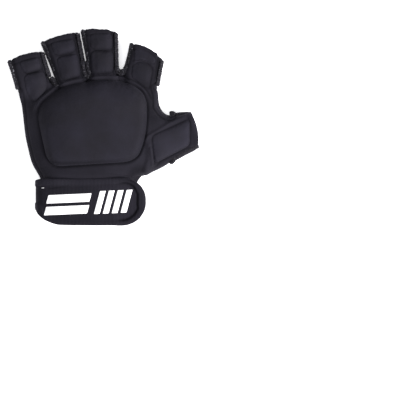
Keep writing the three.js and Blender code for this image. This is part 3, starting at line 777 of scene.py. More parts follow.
def sides_faced(places, outline):
    """How far an outline's nearest side is its right or lower one, and how far its left one."""
    slope_x, slope_y = (inside_by(places - way, outline) - inside_by(places + way, outline)
                        for way in ((PROBE, 0), (0, PROBE)))
    return (smooth_step((slope_x - slope_y) / (2.8 * PROBE), -0.4, 0.5),
            smooth_step(-slope_x / (2 * PROBE), 0.7, 0.97))


def to_corner(places_x, places_y):
    """How far up a place is towards the hand pad's upper left corner, where it slopes gently."""
    return 0.8 * places_y - 0.5 * places_x


# how far each point is from the panel's edges, and how far inside the pads
free_gap = off(left_edge, web_edge, thumb_low, thumb_high, heel_edge, step=2)
left_gap, heel_gap, thumb_tip_gap = off(left_edge, step=2), off(heel_edge, step=2), off(thumb_tip, step=3)
web_gap = off(web_edge, thumb_high[thumb_high[:, 0] < 60], step=2)
low_gap = np.minimum(off(thumb_low, step=3), heel_gap)
tip_gaps = off(*(grid[-1, :, :2] for grid in finger_grids))
lefts, rights = ([off(grid[:, side, :2]) for grid in finger_grids] for side in (0, -1))
finger_side_gap, right_gap = np.min(lefts + rights, axis=0), np.min(rights, axis=0)
little_right, (_, ring_left, middle_left, index_left) = rights[0], lefts
hand_in, thumb_in = inside_by(plan, HAND_PAD), inside_by(plan, THUMB_PAD)
pads_in = {name: inside_by(plan, outline) for name, outline in FINGER_PADS.items()}
near_in, far_in = (np.max([pads_in[f"{finger.name}_{part}"] for finger in FINGERS], axis=0)
                   for part in ("near", "far"))
finger_in = np.maximum(near_in, far_in)

wall = lerp(PANEL_WALL, FINGER_WALL, np.maximum(smooth_step(y, 20, 40), smooth_step(x, 40, 60)))
slow, small = wander(back.points, 17, seed=1), wander(back.points, 6, seed=2)

# the grooves round the pads, deepest along their right and lower sides
between = bump_at(outside(near_in) + outside(far_in), 1.3, 1.1) * (finger_side_gap > 2.5)
GROOVE_SHARES = {"index_far": 0, "little_near": 0.3}  # of the others' depth
finger_shade = np.zeros(len(plan))
for name, outline in FINGER_PADS.items():
    close = outside(pads_in[name]) < 4
    faced = sides_faced(plan[close], outline)[0] * GROOVE_SHARES.get(name, 1)
    finger_shade[close] = np.maximum(finger_shade[close], faced)
hand_corner = smooth_step(to_corner(x, y), 10, 42)
grooves = np.minimum.reduce([
    -lerp(1.0, 0.35, hand_corner) * np.exp(-((outside(hand_in) / 1.1) ** 2)),
    -0.6 * np.exp(-((outside(thumb_in) / 0.8) ** 2)),
    -lerp(0.15, 0.55, finger_shade) * np.exp(-((outside(finger_in) / 0.9) ** 2)),
    -0.6 * between * smooth_step(finger_side_gap, 2.5, 7),
])
# a raised line runs round the top of the hand pad, just outside its groove
ridge_right = smooth_step(x, 4, 20)
ridge = (1.8 * bump_at(hand_in + lerp(2.6, 2.4, ridge_right), 0, lerp(1.35, 0.8, ridge_right))
         * smooth_step(y, 8, 18) * (1 - smooth_step(x - 0.3 * y, 24, 30)))
# folds beside the thumb's root, raised lines along the thumb and across the index finger
folds = (1.3 * bump_at(off([(39, -17), (39.8, -24), (39.4, -31), (36.5, -38)]), 0, 2.6)
         * (1 - smooth_step(x, 42, 44))
         + 0.5 * bump_at(off([(38, -30.5), (34.4, -37.6)]), 0, 1.4)
         + 1.5 * bump_at(off([(40.8, -19), (42.0, -26), (42.2, -32.5)]), 0, 1.0))
thumb_welt = bump_at(
    off([(37.5, -9.2), (42, -6.2), (50, -1.6), (57, 2.4), (65, 5.8), (70, 8), (75.5, 10.8)]), 0, 1.3)
index_gap = off([(27.6, 57.6), (33.6, 58.6), (38.5, 57), (42.4, 54.3)])
index_welt = 2.0 * bump_at(index_gap, 0, 0.6)
# the sewn hems along the sides and at the tips, the creases of the thumb, and beside the finger seams
hems = bump_at(left_gap, 2.9, 0.6) * (y > -44) + bump_at(web_gap, 4.3, 0.6)
tips = np.maximum(bump_at(tip_gaps, 3.9, 1.0), 0.45 * bump_at(thumb_tip_gap, 3.6, 1.2))
thumb_lines = bump_at(off(
    [(60, 8.4), (64, 9), (68, 10.4), (72, 12)],
    [(45.4, -33.4), (50, -29.8), (58, -25.6), (66, -21.6), (75, -17.4)],
    [(43, -17), (44, -24), (44.1, -32)]), 0, 0.6)
flap_line = (bump_at(finger_side_gap, 2.0, 0.7) * (y > 30) * smooth_step(index_left, 3, 4)
             * (1 - 0.7 * (middle_left < 4) * smooth_step(y, 60, 68)) * (1 - 0.6 * (ring_left < 4)))
right_line = (bump_at(right_gap, 1.6, 1.9) * smooth_step(y, 38, 44)
              * (1 - 0.75 * (little_right < 5) * smooth_step(y, 44, 56)))
# the panel swells against the strap's upper edge
swell = 2.6 * smooth_step(y, -47.4, -44.8) * (1 - smooth_step(y, -43.4, -34)) * smooth_step(free_gap, 1, 8)
rough_tip = 0.5 * wander(back.points, 1.6, seed=3) * (1 - smooth_step(tip_gaps, 2.6, 3.6))
relief = (index_welt - 0.7 * right_line + grooves + ridge + thumb_welt + folds + swell + rough_tip
          - 0.5 * hems - 0.55 * tips - 0.45 * flap_line - 0.4 * thumb_lines + 0.25 * slow + 0.08 * small)

# painted shade: how dark the cloth is painted in each of them, for the shade in its grooves, hems, seams and
# tips, on slopes turned from the light, and under the strap's edge
hand_line_width = (lerp(1.4, 0.9, np.maximum(hand_corner, smooth_step(-x, 34, 46)))
                   + smooth_step(-y, 28, 33))
crease = np.max([
    lerp(lerp(0.7, 0.9, smooth_step(x, -45, -30)), 0.55, hand_corner)
    * bump_at(outside(hand_in), 0, hand_line_width) * (1 - 0.6 * bump_at(y, 8, 13) * (x > 32)),
    0.75 * bump_at(outside(thumb_in), 0, 0.8),
    lerp(0.1, 0.6, finger_shade) * bump_at(outside(finger_in), 0, 0.8),
    lerp(1.0, 0.45, smooth_step(x, 20, 24)) * between * smooth_step(finger_side_gap, 2.5, 8),
    0.65 * hems,
    0.95 * bump_at(web_gap, 4.3, 0.8) * (1 - smooth_step(x, 52, 58)),
    0.8 * tips,
    0.85 * flap_line,
    0.7 * bump_at(index_left, 4.4, 0.55) * smooth_step(y, 50, 54),
    0.9 * thumb_lines,
    right_line,
    0.34 * (1 - smooth_step(tip_gaps, 2.8, 4.2)),
    # painted shadow of the strap's upper edge on the panel above it
    0.75 * smooth_step(-y, 42.6, 45.4) * smooth_step(x, 14, 26),
    # painted shade on the slopes along the thumb's lower edge and round the heel
    0.55 * (1 - smooth_step(low_gap, 2, 9)),
    0.85 * (1 - smooth_step(heel_gap, 4, 14)),
    0.95 * bump_at(hand_in, -4.2, 0.9) * smooth_step(x, 16, 24) * smooth_step(y, 22, 28),
], axis=0)
# painted shade: the cloth is painted darker at the thumb's web and on the fingers
painted_shade_zones = (0.42 * bump_at(np.hypot(x - 46, y - 9), 0, 11)
             + 0.6 * bump_at(np.hypot((x - 42.5) / 0.65, (y - 22) / 2), 0, 9)
             + 0.2 * smooth_step(y, 34, 48))
crease = np.maximum(crease, np.clip(painted_shade_zones, 0, 0.62) + 0.7 * crease)
# painted shade is lifted along the web's hem and off the crests of the index welt and the ridge, leaving
# painted highlights there
crease = np.clip(crease, 0, 1) * (1 - 0.6 * (1 - smooth_step(web_gap, 2.4, 3.6)) * (y < 30))
crease *= (1 - bump_at(index_gap, 0, 0.8)) * (1 - 0.7 * np.clip(ridge, 0, 1) * ridge_right)

# inside, the pads show as shallow embossed outlines in the lining
LINING = 0.5  # its thickness
HEM = 4.6  # how wide the panel is folded in
emboss = (-0.7 * bump_at(hand_in, -0.5, 1.1) + 0.5 * smooth_step(hand_in, 0, 6)
          - 0.35 * bump_at(hand_in, -4, 0.8) - 0.4 * bump_at(finger_in, 0, 0.9)
          - 0.4 * bump_at(thumb_in, 0, 0.9))
edge_gap = np.minimum.reduce([free_gap, tip_gaps + 1.4, thumb_tip_gap + 1.4])
hem_roll = 0.35 * smooth_step(edge_gap, 0, 1.5) * (1 - smooth_step(edge_gap, 3.2, 4.4))
in_hem = (edge_gap < HEM) & (finger_side_gap > 1.2)
under = np.where(in_hem, wall / 2 + hem_roll, wall / 2 - LINING - 0.1 + np.minimum(emboss, 0) * 0.8)

points, faces, source, _ = back.wall(wall / 2 + relief, under)
hand_back = make_piece("hand_back", points, faces, panel_knit, "panel_knit", ["back_panel"],
                       crease=crease[source])

kept = ~in_hem[back.quads].any(axis=1)
# painted shade along the embossed outlines of the pads and where the hem's fold ends in the lining
lining_painted_shade = np.max([bump_at(hand_in, -0.5, 0.9), 0.6 * bump_at(finger_in, 0, 0.8),
                        0.7 * bump_at(edge_gap, HEM, 0.7)], axis=0)
points, faces, source, _ = back.wall(
    -(wall / 2 - LINING + emboss), wall / 2 + emboss + 0.12 * slow, rim=2, kept=kept)
palm_lining = make_piece("palm_lining", points, faces, lining_knit, "lining", crease=lining_painted_shade[source])


# ---------------------------------------------------------------- the foam pads

back_skin = skin_over(back, wall / 2)


def pad_mesh(outline, offsets, step):
    """Triangles over an outline: rings at offsets from its edge, then an even spread of points."""
    ends = np.roll(outline, -1, axis=0) - np.roll(outline, 1, axis=0)
    inward = unit(np.column_stack([-ends[:, 1], ends[:, 0]]))
    rings = [outline + inward * offset for offset in offsets]
    low, high = outline.min(axis=0), outline.max(axis=0)
    spread = np.array([(px + (i % 2) * step / 2, py)
                       for i, py in enumerate(np.arange(low[1], high[1], step * 0.87))
                       for px in np.arange(low[0], high[0], step)])
    spread = spread[inside_by(spread, outline) > offsets[-1] + step * 0.7]
    edges = [(i, (i + 1) % len(outline)) for i in range(len(outline))]
    result = delaunay_2d_cdt([Vector(place) for place in np.vstack([*rings, spread])], edges, [], 1, 1e-6)
    return np.array([list(place) for place in result[0]]), np.array([list(face) for face in result[2]])


def eased(values, triangles, weights, times):
    """Values on a mesh drawn towards the mean of their neighbours."""
    first, second = np.unique(np.sort(sides_of(triangles), axis=1), axis=0).T
    count = np.bincount(np.concatenate([first, second]), minlength=len(values))
    for _ in range(times):
        sums = np.bincount(first, values[second], len(values))
        sums += np.bincount(second, values[first], len(values))
        values = lerp(values, sums / count, weights)
    return values


SINK = 0.6  # how far a pad's edge lies under the panel's skin
BASE_ROUNDS = 90  # of smoothing under a pad


def foam_pad(name, node, outline, profile, offsets, step, bridge, seed, easing, dark, painted_edge_shade, flat=0.0,
             soft_left=False):
    """A crowned pad of moulded foam whose edge sinks into the groove round it. bridge is how widely
    its base smooths the skin under it, and flat how far it leaves the skin's shape for a plane.
    The edge's painted shade is given as how dark the edge is painted at its upper left and lower right, and
    how wide; dark is the painted shade over the whole top."""
    places, triangles = pad_mesh(outline, offsets, step)
    inside = np.maximum(inside_by(places, outline), 0)
    facing, left = sides_faced(places, outline)
    base = heights_on(back_skin, places)
    turns = np.linspace(0, math.tau, 9)[:-1]
    around = [heights_on(back_skin, places + bridge * np.array([math.cos(turn), math.sin(turn)]))
              for turn in turns]
    base = lerp(base, np.nanmean([*around, base], axis=0), smooth_step(inside, 0.5, 2 + bridge))
    base = np.where(np.isnan(base), np.nanmin(base), base)
    level = raised(places, 1.0)
    slopes = np.linalg.lstsq(level[inside > 2], base[inside > 2], rcond=None)[0]
    base = lerp(base, level @ slopes, flat * smooth_step(inside, 0.5, 4))
    lumps = raised(places, 0.0)
    rough = (0.16 * wander(lumps, 19, seed) + 0.05 * wander(lumps, 5, seed + 1)) * smooth_step(inside, 0, 4)
    dome = profile(inside, places, facing, left)
    dome = eased(dome, triangles, 0.7 * smooth_step(inside, 0.2, 1.5), easing)
    top = eased(base, triangles, 0.7 * smooth_step(inside, 1, 5), BASE_ROUNDS) - SINK + dome + rough
    # painted shade along the pad's edge, left off on a soft left side
    shade = lerp(painted_edge_shade[0], painted_edge_shade[1], facing) * bump_at(inside, 0, painted_edge_shade[2])
    if soft_left:
        shade *= 1 - left
    if callable(dark):
        dark = dark(*places.T)
    points, faces = slab(places, triangles, top, np.minimum(base - 1.5, top - 0.5))
    # painted shade over the top, and full painted shade on the underside
    crease = np.concatenate([dark + (1 - dark) * shade, np.ones(len(places))])
    make_piece(name, points, faces, pad_knit, "pad_knit", [node], crease=crease)


# A profile gives a pad's height over its base from how far inside the outline each place lies, where
# it is, and how far it faces the lower right and the left. Each pad uses the ones it needs.

def hand_profile(inside, places, facing, left):
    """Steep on the right and along the bottom, a long gentle slope at the upper left."""
    slope = lerp(2.0, 5.2, smooth_step(to_corner(*places.T), 10, 42))
    return 6.6 * (1 - np.exp(-inside / slope)) + 1.6 * smooth_step(inside, 0, 34)


def thumb_profile(inside, places, facing, left):
    return 2.6 * (1 - np.exp(-inside / lerp(2.6, 0.9, facing))) + 0.25 * smooth_step(inside, 0, 11)


def finger_profile(inside, places, facing, left):
    """Crowned, with a left side that swells up softly out of the panel."""
    rise = 1 - (1 - np.minimum(inside / lerp(6.5, 4, facing), 1)) ** 2
    crown = 0.35 * (1 - facing) + lerp(3.3, 3.6, facing) * rise
    return lerp(crown, 0.7 + 2.9 * smooth_step(inside, -0.5, 8), left)


def index_profile(inside, places, facing, left):
    """The index finger's pads are softer."""
    return 0.6 * finger_profile(inside, places, facing, left) + 0.3 * left


# painted shade over the hand pad: more on its lower half, on its upper right and upper left slopes, which
# turn from the light, and in a band along its bottom groove
def hand_pad_painted_shade(px, py):
    return (lerp(0.44, 0.32, smooth_step(py, 0, 20))
            + 0.36 * smooth_step(py, 14, 34) * smooth_step(px, -2, 12)
            + 0.28 * smooth_step(to_corner(px, py), 18, 40) + 0.45 * smooth_step(-py, 29.5, 32.5))


def index_far_painted_shade(px, py):
    """Painted shade over the pad, left off along its lower edge as a painted highlight where it catches the
    light.
    """
    lower_edge = gap_to_any(np.column_stack([px, py]), [(26.6, 57.5), (35.2, 58.8), (43.9, 53.8)])
    return 0.55 * smooth_step(lower_edge, 0.5, 1.5)


foam_pad("hand_pad_foam", "hand_pad", HAND_PAD, hand_profile,
         [0, 0.35, 0.8, 1.4, 2.1, 2.9, 3.8, 4.8, 5.9, 7.1], step=1.25, bridge=4.3, seed=11, easing=0,
         dark=hand_pad_painted_shade, painted_edge_shade=(0.45, 0.75, 2.7))
foam_pad("thumb_pad_foam", "thumb_pad", THUMB_PAD, thumb_profile, [0, 0.3, 0.7, 1.2, 1.8, 2.5],
         step=0.85, bridge=0.8, seed=23, easing=14, dark=0.16, painted_edge_shade=(0.2, 0.8, 1.2), flat=1.0)
# painted shade: how dark each finger's pad is painted, and along its edges
PAD_EDGE = (0.2, 0.85, 1.2)
PAD_PAINTED_SHADES = {
    "little_near": (0.28, (0.2, 0.35, 1.2)), "little_far": (0.28, PAD_EDGE),
    "index_near": (0.55, PAD_EDGE), "index_far": (index_far_painted_shade, (0.1, 0.12, 0.6)),
}
for seed, (name, outline) in enumerate(FINGER_PADS.items(), start=31):
    dark, painted_edge_shade = PAD_PAINTED_SHADES.get(name, (0.45, PAD_EDGE))
    profile = index_profile if name.startswith("index") else finger_profile
    foam_pad(f"{name}_foam", f"{name}_pad", outline, profile, [0, 0.3, 0.7, 1.2, 1.8], step=0.8, bridge=1.0,
             seed=seed, easing=24, dark=dark, painted_edge_shade=painted_edge_shade, soft_left=True)


# ---------------------------------------------------------------- sleeves under the fingers and thumb

SCOOP = 2.6  # how far a sleeve's root hem is cut back in the middle
SET_BACK = 0.6  # how far a sleeve's middle surface starts and ends inside its outline
SLEEVE_STEP = 0.8


def sleeve_section(half, flange, count=61):
    """From one sewn edge down under the finger and up to the other: to the side, and the height."""
    floor_z = SLEEVE_WALL / 2
    right = [(0, floor_z), (half - 6.5, floor_z), (half - 4.2, floor_z + 0.15), (half - 1.9, floor_z + 1),
             (half - 0.5, floor_z + 2.8), (half + 0.1, FLANGE_Z - 0.7), (half + 0.9, FLANGE_Z),
             (half + flange - 0.5, FLANGE_Z)]
    whole = np.array([(-lateral, height) for lateral, height in right[:0:-1]] + right)
    along = lengths_along(whole)
    shares = np.linspace(-0.5, 0.5, count)
    return smooth_through(along, whole, np.linspace(0, along[-1], count)), shares * along[-1]


def make_sleeve(name, node, place, halves, flange, length, start, seed):
    """A grip cloth sleeve. place gives the plan's point for a distance and a lateral."""
    rows, uvs, beyond = [], [], []
    for share in np.linspace(0, 1, int((length - start) / SLEEVE_STEP)):
        distance = lerp(start, length, share)
        half = halves(distance)
        sewn_width = flange * (1 - 0.45 * smooth_step(distance / length, 0.86, 1))
        section, across = sleeve_section(half, sewn_width)
        lateral = section[:, 0]
        reach = distance + SCOOP * (1 - share) ** 2 * np.clip(1 - (lateral / half) ** 2, 0, 1)
        rows.append(raised(place(reach, lateral), section[:, 1])[::-1])
        uvs.append(np.column_stack([across, reach])[::-1])
        beyond.append(np.abs(lateral) - half)
    cloth = Cloth(np.array(rows))
    uv = cloth.at_points(np.array(uvs))
    sewn = cloth.at_points(smooth_step(np.array(beyond)[:, ::-1], 0, 0.8))
    from_root = uv[:, 1] - start - SCOOP * np.clip(1 - (uv[:, 0] / halves(start)) ** 2, 0, 1)
    from_tip = length - uv[:, 1]
    root_hem = bump_at(from_root, 3.2, 0.5) + bump_at(from_root, 1.4, 0.4) * 0.6
    tip_hem = bump_at(from_tip, 3.0, 0.5)
    folds = wander(cloth.points, 7, seed)
    sink = 0.45 * root_hem + 0.4 * tip_hem + 0.28 * (1 + folds)
    points, faces, source, turn = cloth.wall(SLEEVE_WALL / 2 - sink, SLEEVE_WALL / 2 - 0.1 * folds)
    printed = smooth_step(from_root, 3.3, 4.3) * smooth_step(from_tip, 2.4, 3.4) * (1 - sewn)
    # painted shade in the sleeve's hems and over its sewn flanges
    sleeve = make_piece(name, points, faces, grip_cloth, "grip_cloth", [node], uv=uv[source],
                        crease=np.clip(root_hem + tip_hem + sewn, 0, 1)[source],
                        printed=printed[source] * (turn < 0.4))


for seed, finger in enumerate(FINGERS, start=51):
    make_sleeve(f"{finger.name}_grip", f"{finger.name}_sleeve", finger.place, finger.half, finger.flange,
                finger.length - SET_BACK, SLEEVE_START + SET_BACK, seed)

loop = np.array(THUMB_STATIONS[THUMB_LOOP_START:], float)
loop_reach = lengths_along((loop[:, 0:2] + loop[:, 2:4]) / 2)


def thumb_place(distance, lateral):
    distance, lateral = np.broadcast_arrays(np.asarray(distance, float), np.asarray(lateral, float))
    station = smooth_through(loop_reach, loop, distance.ravel())
    low, high, bulge = station[:, 0:2], station[:, 2:4], station[:, 6]
    across = high - low
    half = np.linalg.norm(across, axis=1) / 2
    spot = (low + high) / 2 - across / (2 * half[:, None]) * lateral.ravel()[:, None]
    spot[:, 0] += bulge * (1 - np.clip(lateral.ravel() / half, -1, 1) ** 2)
    return spot.reshape(*distance.shape, 2)


def thumb_half(distance):
    station = smooth_through(loop_reach, loop, np.atleast_1d(np.asarray(distance, float)))
    half = np.linalg.norm(station[:, 2:4] - station[:, 0:2], axis=1) / 2
    return half if np.ndim(distance) else float(half[0])


make_sleeve("thumb_grip", "thumb_sleeve", thumb_place, thumb_half, THUMB_FLANGE,
            loop_reach[-1] - SET_BACK, SET_BACK, seed=58)


# ---------------------------------------------------------------- overlocked seams

BAR_SIDES, THREAD_SIDES = 14, 5
SEAM_HEIGHT, LUMP_HEIGHT = 9.5, 11.4
SEAM_THICK, LUMP_THICK = 0.8, 1.7  # half of each
NEEDLE_RADIUS = 0.3
STEPS_PER_TURN, STEPS_PER_ZIG, ZIG_PITCH = 12, 8, 1.9
bars, threads, bar_painted_shade, thread_pale = [], [], [], []


def tube(path, across, up, radii, sides):
    """A closed tube round a path with a flat-oval section of the given half width and half height."""
    count = len(path)
    angles = np.linspace(0, math.tau, sides + 1)[:-1]
    points = (path[:, None] + across[:, None] * (radii[:, 0, None] * np.cos(angles))[..., None]
              + up[:, None] * (radii[:, 1, None] * np.sin(angles))[..., None]).reshape(-1, 3)
    faces = []
    for i in range(count - 1):
        for k in range(sides):
            a, b = i * sides + k, i * sides + (k + 1) % sides
            faces.append([a, b, b + sides, a + sides])
    return points, [*faces, list(range(sides))[::-1], [(count - 1) * sides + k for k in range(sides)]]


def path_axes(path):
    """Which way is to the right of a path and which way is up from it."""
    ahead = unit(np.gradient(path, axis=0))
    across = unit(np.cross(ahead, (0, 0, 1.0)))
    return across, np.cross(across, ahead)


def sew(path, outward, tilt, half_width, half_height, seed, shades, needle_span, coil_radius=0.2, pitch=1.7):
    """A sewn edge turned up against the finger: the flap, the thread wound round it, and a zigzag of
    needle thread on its face between two shares of its half width, the lower towards the finger.
    outward is 1 where the outside is on the path's right. shades says how pale the needle thread and
    the wound thread are, and how much shade is painted on the flap and on its inner edge."""
    needle_pale, coil_pale, dark, inner_dark = shades
    line = evenly_spaced(path, max(4, int(lengths_along(path)[-1] / 0.6)))
    right, up = path_axes(line)
    away, tilt = right * outward, math.radians(tilt)
    across = away * math.cos(tilt) - up * math.sin(tilt)
    face = away * math.sin(tilt) + up * math.cos(tilt)
    at = lengths_along(line)
    long = at[-1]
    swell = (1 + 0.15 * wander(line, 2.4, seed) + 0.11 * wander(line, 1.0, seed + 2)
             + 0.22 * bump_at(at, 1.6, 1.5))
    taper = np.sqrt(np.clip(np.minimum(at, long - at) / 1.2, 0.12, 1))
    radii = np.column_stack([half_width * swell, half_height * swell]) * taper[:, None]
    bars.append(tube(line, across, face, radii, BAR_SIDES))
    inner = -np.cos(np.linspace(0, math.tau, BAR_SIDES + 1)[:-1])
    # painted shade over the flap, deepest along its inner edge
    bar_painted_shade.append(np.tile(np.maximum(dark, inner_dark * smooth_step(inner, 0.4, 0.95)), len(line)))

    def wind(along, side, out, radius, pale):
        """A thread through points given as lengths along, and distances across and out of, the flap."""
        spots, sides, outs = (at_lengths(along, at, axis) for axis in (line, across, face))
        coil = spots + sides * side[:, None] + outs * out[:, None]
        threads.append(tube(coil, *path_axes(coil), np.full((len(coil), 2), radius), THREAD_SIDES))
        thread_pale.append(np.repeat(np.broadcast_to(pale, len(coil)), THREAD_SIDES))

    turns = long / pitch
    steps = np.linspace(0.01, 0.99, int(turns * STEPS_PER_TURN))
    angle = math.tau * turns * steps + 1.3 * wander_along(steps * long, 2.3, seed + 5)
    wind(steps * long, np.cos(angle) * (half_width + 0.03), np.sin(angle) * (half_height + 0.1), coil_radius,
         coil_pale)
    zigs = long / ZIG_PITCH
    steps = np.linspace(1.7 / long, 1 - 1.7 / long, int(zigs * STEPS_PER_ZIG))
    jitter, drift, dip, flecks = (
        wander_along(steps * long, size, seed + 9 + i) for i, size in enumerate((1.3, 3.1, 1.9, 1.5)))
    zig = np.abs(((steps * zigs + 0.7 * jitter) % 1) * 2 - 1)
    side = half_width * np.clip(lerp(*needle_span, zig) + 0.16 * jitter + 0.3 * drift, -1, 1)
    out = half_height * np.sqrt(np.clip(1 - (side / half_width) ** 2, 0.05, 1)) + 0.12 + 0.3 * dip
    wind(steps * long, side, out, NEEDLE_RADIUS, needle_pale * lerp(0.3, 1.4, smooth_step(flecks, -0.3, 0.4)))


# the seams on a finger's left and right: the side, how far past the tip it runs, how far out it lies
# at the root and how much further at the tip, its tilt, the needle thread's span, as a left seam shows
# its inner edge and a right one its outer, and the wound thread's radius
LEFT_SPAN, RIGHT_SPAN, LUMP_SPAN = (-0.98, -0.35), (0.05, 0.9), (-0.8, 0.8)
SEAMS = ((-1, 0.2, 1.0, 1.5, 60, LEFT_SPAN, 0.2), (1, -1.2, 1.6, 0.8, 71, RIGHT_SPAN, 0.3))
# their shades on each finger as the photograph shows them, left and right
# of each four, the first two are how pale the needle and wound threads are, the last two the painted shade on
# the flap and along its inner edge
SEAM_SHADES = {
    "little": ((0.9, 0.4, 0.12, 0.9), (0.6, 0.35, 0.7, 0.9)),
    "ring": ((0.7, 0.6, 0.12, 0.25), (0.8, 0.14, 0.95, 0.9)),
    "middle": ((0.4, 0.7, 0.12, 0.1), (0.7, 0.14, 0.95, 0.9)),
    "index": ((0.2, 1.0, 0.12, 0.0), (0.4, 0.14, 0.95, 0.9)),
}
for k, finger in enumerate(FINGERS):
    for (side, past, out, spread, tilt, span, radius), shades in zip(SEAMS, SEAM_SHADES[finger.name]):
        distance = np.linspace(SLEEVE_START - 1.4, finger.length + past, 40)
        width = finger.half(distance) + out + spread * (distance / finger.length) ** 2
        path = raised(finger.place(distance, side * width), SEAM_HEIGHT)
        sew(path, side, tilt, 3.8, SEAM_THICK, 71 + 2 * k + side, shades, span, radius)
# the thumb's two seams, with painted shade on their flaps as on the fingers'
for side, tilt, out, shades in ((-1, 42, 0.3, (0.2, 0.23, 0.6, 0.9)), (1, 60, 0.7, (0.0, 0.06, 0.9, 0.9))):
    distance = np.linspace(-1.6, loop_reach[-1] + 0.2, 30)
    path = raised(thumb_place(distance, side * (thumb_half(distance) + out)), SEAM_HEIGHT)
    sew(path, side, tilt, 3.7, SEAM_THICK, 83 + side, shades, LEFT_SPAN)
# the edges run together in lumps of thread at the webs, and knot at the thumb's root
for k, (height, half_width, pale, dark, line) in enumerate((
        (LUMP_HEIGHT, 2.2, 0.1, 0.6, [(-47, 43.8), (-44.2, 40.0), (-40.6, 35.4)]),
        (LUMP_HEIGHT, 2.0, 0.15, 0.6, [(-19.4, 58), (-18, 51), (-16.4, 46.6), (-13.4, 42.6)]),
        (LUMP_HEIGHT, 2.0, 0.15, 0.6, [(-15.2, 58.4), (-13.8, 51), (-12.8, 46), (-11.8, 42.4)]),
        (LUMP_HEIGHT, 2.6, 0.0, 0.5, [(9.8, 52.6), (12.0, 49.4), (15.2, 47.9), (18.4, 49.2), (20.4, 52.8)]),
        (LUMP_HEIGHT, 2.2, 0.0, 0.9, [(57.8, 10.6), (60.2, 11.8), (62.6, 10.8)]),
        (9.6, 1.6, 0.1, 0.7, [(57.2, -30.4), (59.7, -31), (62.2, -29.2)]))):
    # the lumps' flaps carry painted shade, deepest along their inner edges
    shades = (pale, 0.2 + 0.15 * pale, dark, 0.9)
    sew(raised(line, height), 1, 10, half_width, LUMP_THICK, 91 + k, shades, LUMP_SPAN, pitch=1.3)
seam_edges = make_piece("seam_edges", *joined(bars), binding_knit, "binding",
                        crease=np.concatenate(bar_painted_shade))
make_piece("overlock_threads", *joined(threads), seam_thread, "thread", pale=np.concatenate(thread_pale))


# ---------------------------------------------------------------- the wrist strap

# The strap's section across the hand and its two edges along Y, from its end under the thumb side,
# round the little finger's side, to the free tip on top
STRAP_PATH = [
    (28.6, 1.4, -80, -48), (10, 1.4, -80, -48), (-15, 1.4, -80, -48), (-42, 1.4, -79.4, -48),
    (-52, 2.1, -77.4, -47.6), (-57.6, 5.2, -74.6, -47), (-59.6, 10, -72.6, -46.6),
    (-56.6, 15.2, -77.2, -46.2), (-50, 18, -82.4, -46), (-38, 19.6, -85.9, -46), (-14, 20.1, -86.3, -45.8),
    (8, 20.1, -86.3, -45.4), (24, 19.3, -86.2, -45.0), (36.9, 17.4, -86, -44.4),
]
STRAP_TIP = 22.0
TOP_START = 91.0  # how far along the strap its upper face begins
TIP_POWER = 2.15
TIP_ROWS, STRAP_COLUMNS, COLUMN_TURN = 42, 49, 1.25
strap_table = np.array(STRAP_PATH, float)
strap_knots = lengths_along(strap_table[:, :2])
strap_long = strap_knots[-1]


def strap_rows(at):
    """The path, the middle of the width and half of it, at distances along the strap."""
    path_x, path_z, low, high = smooth_through(strap_knots, strap_table, at).T
    into_tip = np.clip((at - strap_long + STRAP_TIP) / STRAP_TIP, 0, 1)
    half = (high - low) / 2 * np.sqrt(np.clip(1 - into_tip**TIP_POWER, 0, 1))
    return path_x, np.maximum(path_z, STRAP_WALL / 2), (low + high) / 2, half


def strap_cloth():
    """The strap's grid of points, the distance of each row along it and half its width there."""
    straight = np.arange(RIM, strap_long - STRAP_TIP, ROW_STEP)
    tip = strap_long - STRAP_TIP + (STRAP_TIP - RIM) * np.sin(np.linspace(0, 1, TIP_ROWS)[1:] * math.pi / 2)
    at = np.concatenate([straight, tip])
    path_x, path_z, middle, _ = strap_rows(at)
    # the mesh ends a rim's width inside the outline, all the way round the tip
    into = np.clip((at - strap_long + STRAP_TIP) / (STRAP_TIP - RIM), 0, 1)
    full = smooth_through(strap_knots, (strap_table[:, 3] - strap_table[:, 2]) / 2, at) - RIM
    inner_half = full * np.sqrt(np.clip(1 - into**TIP_POWER, 1e-4, 1))
    columns = np.sin(np.linspace(-1, 1, STRAP_COLUMNS)[::-1] * COLUMN_TURN) / math.sin(COLUMN_TURN)
    width = middle[:, None] + inner_half[:, None] * columns
    return np.dstack(np.broadcast_arrays(path_x[:, None], width, path_z[:, None])), at, inner_half


strap_grid, strap_at, strap_half = strap_cloth()
strap = Cloth(strap_grid)
strap_uv = strap.at_points(np.dstack(np.broadcast_arrays(strap_at[:, None], strap_grid[..., 1])))
along = strap_uv[:, 0]
sx, sy, sz = strap.points.T
side_gap = np.interp(along, strap_at, strap_half) - np.abs(sy - strap_rows(along)[2]) + RIM
rim_x, _, rim_middle, rim_half = strap_rows(strap_at[strap_at > TOP_START])
rim_line = np.vstack([np.column_stack([rim_x, rim_middle - rim_half]),
                      np.column_stack([rim_x, rim_middle + rim_half])[::-1]])
on_top = along > TOP_START
top_gap = np.full(len(strap.points), 30.0)
top_gap[on_top] = gap_to_line(strap.points[on_top, :2], rim_line)
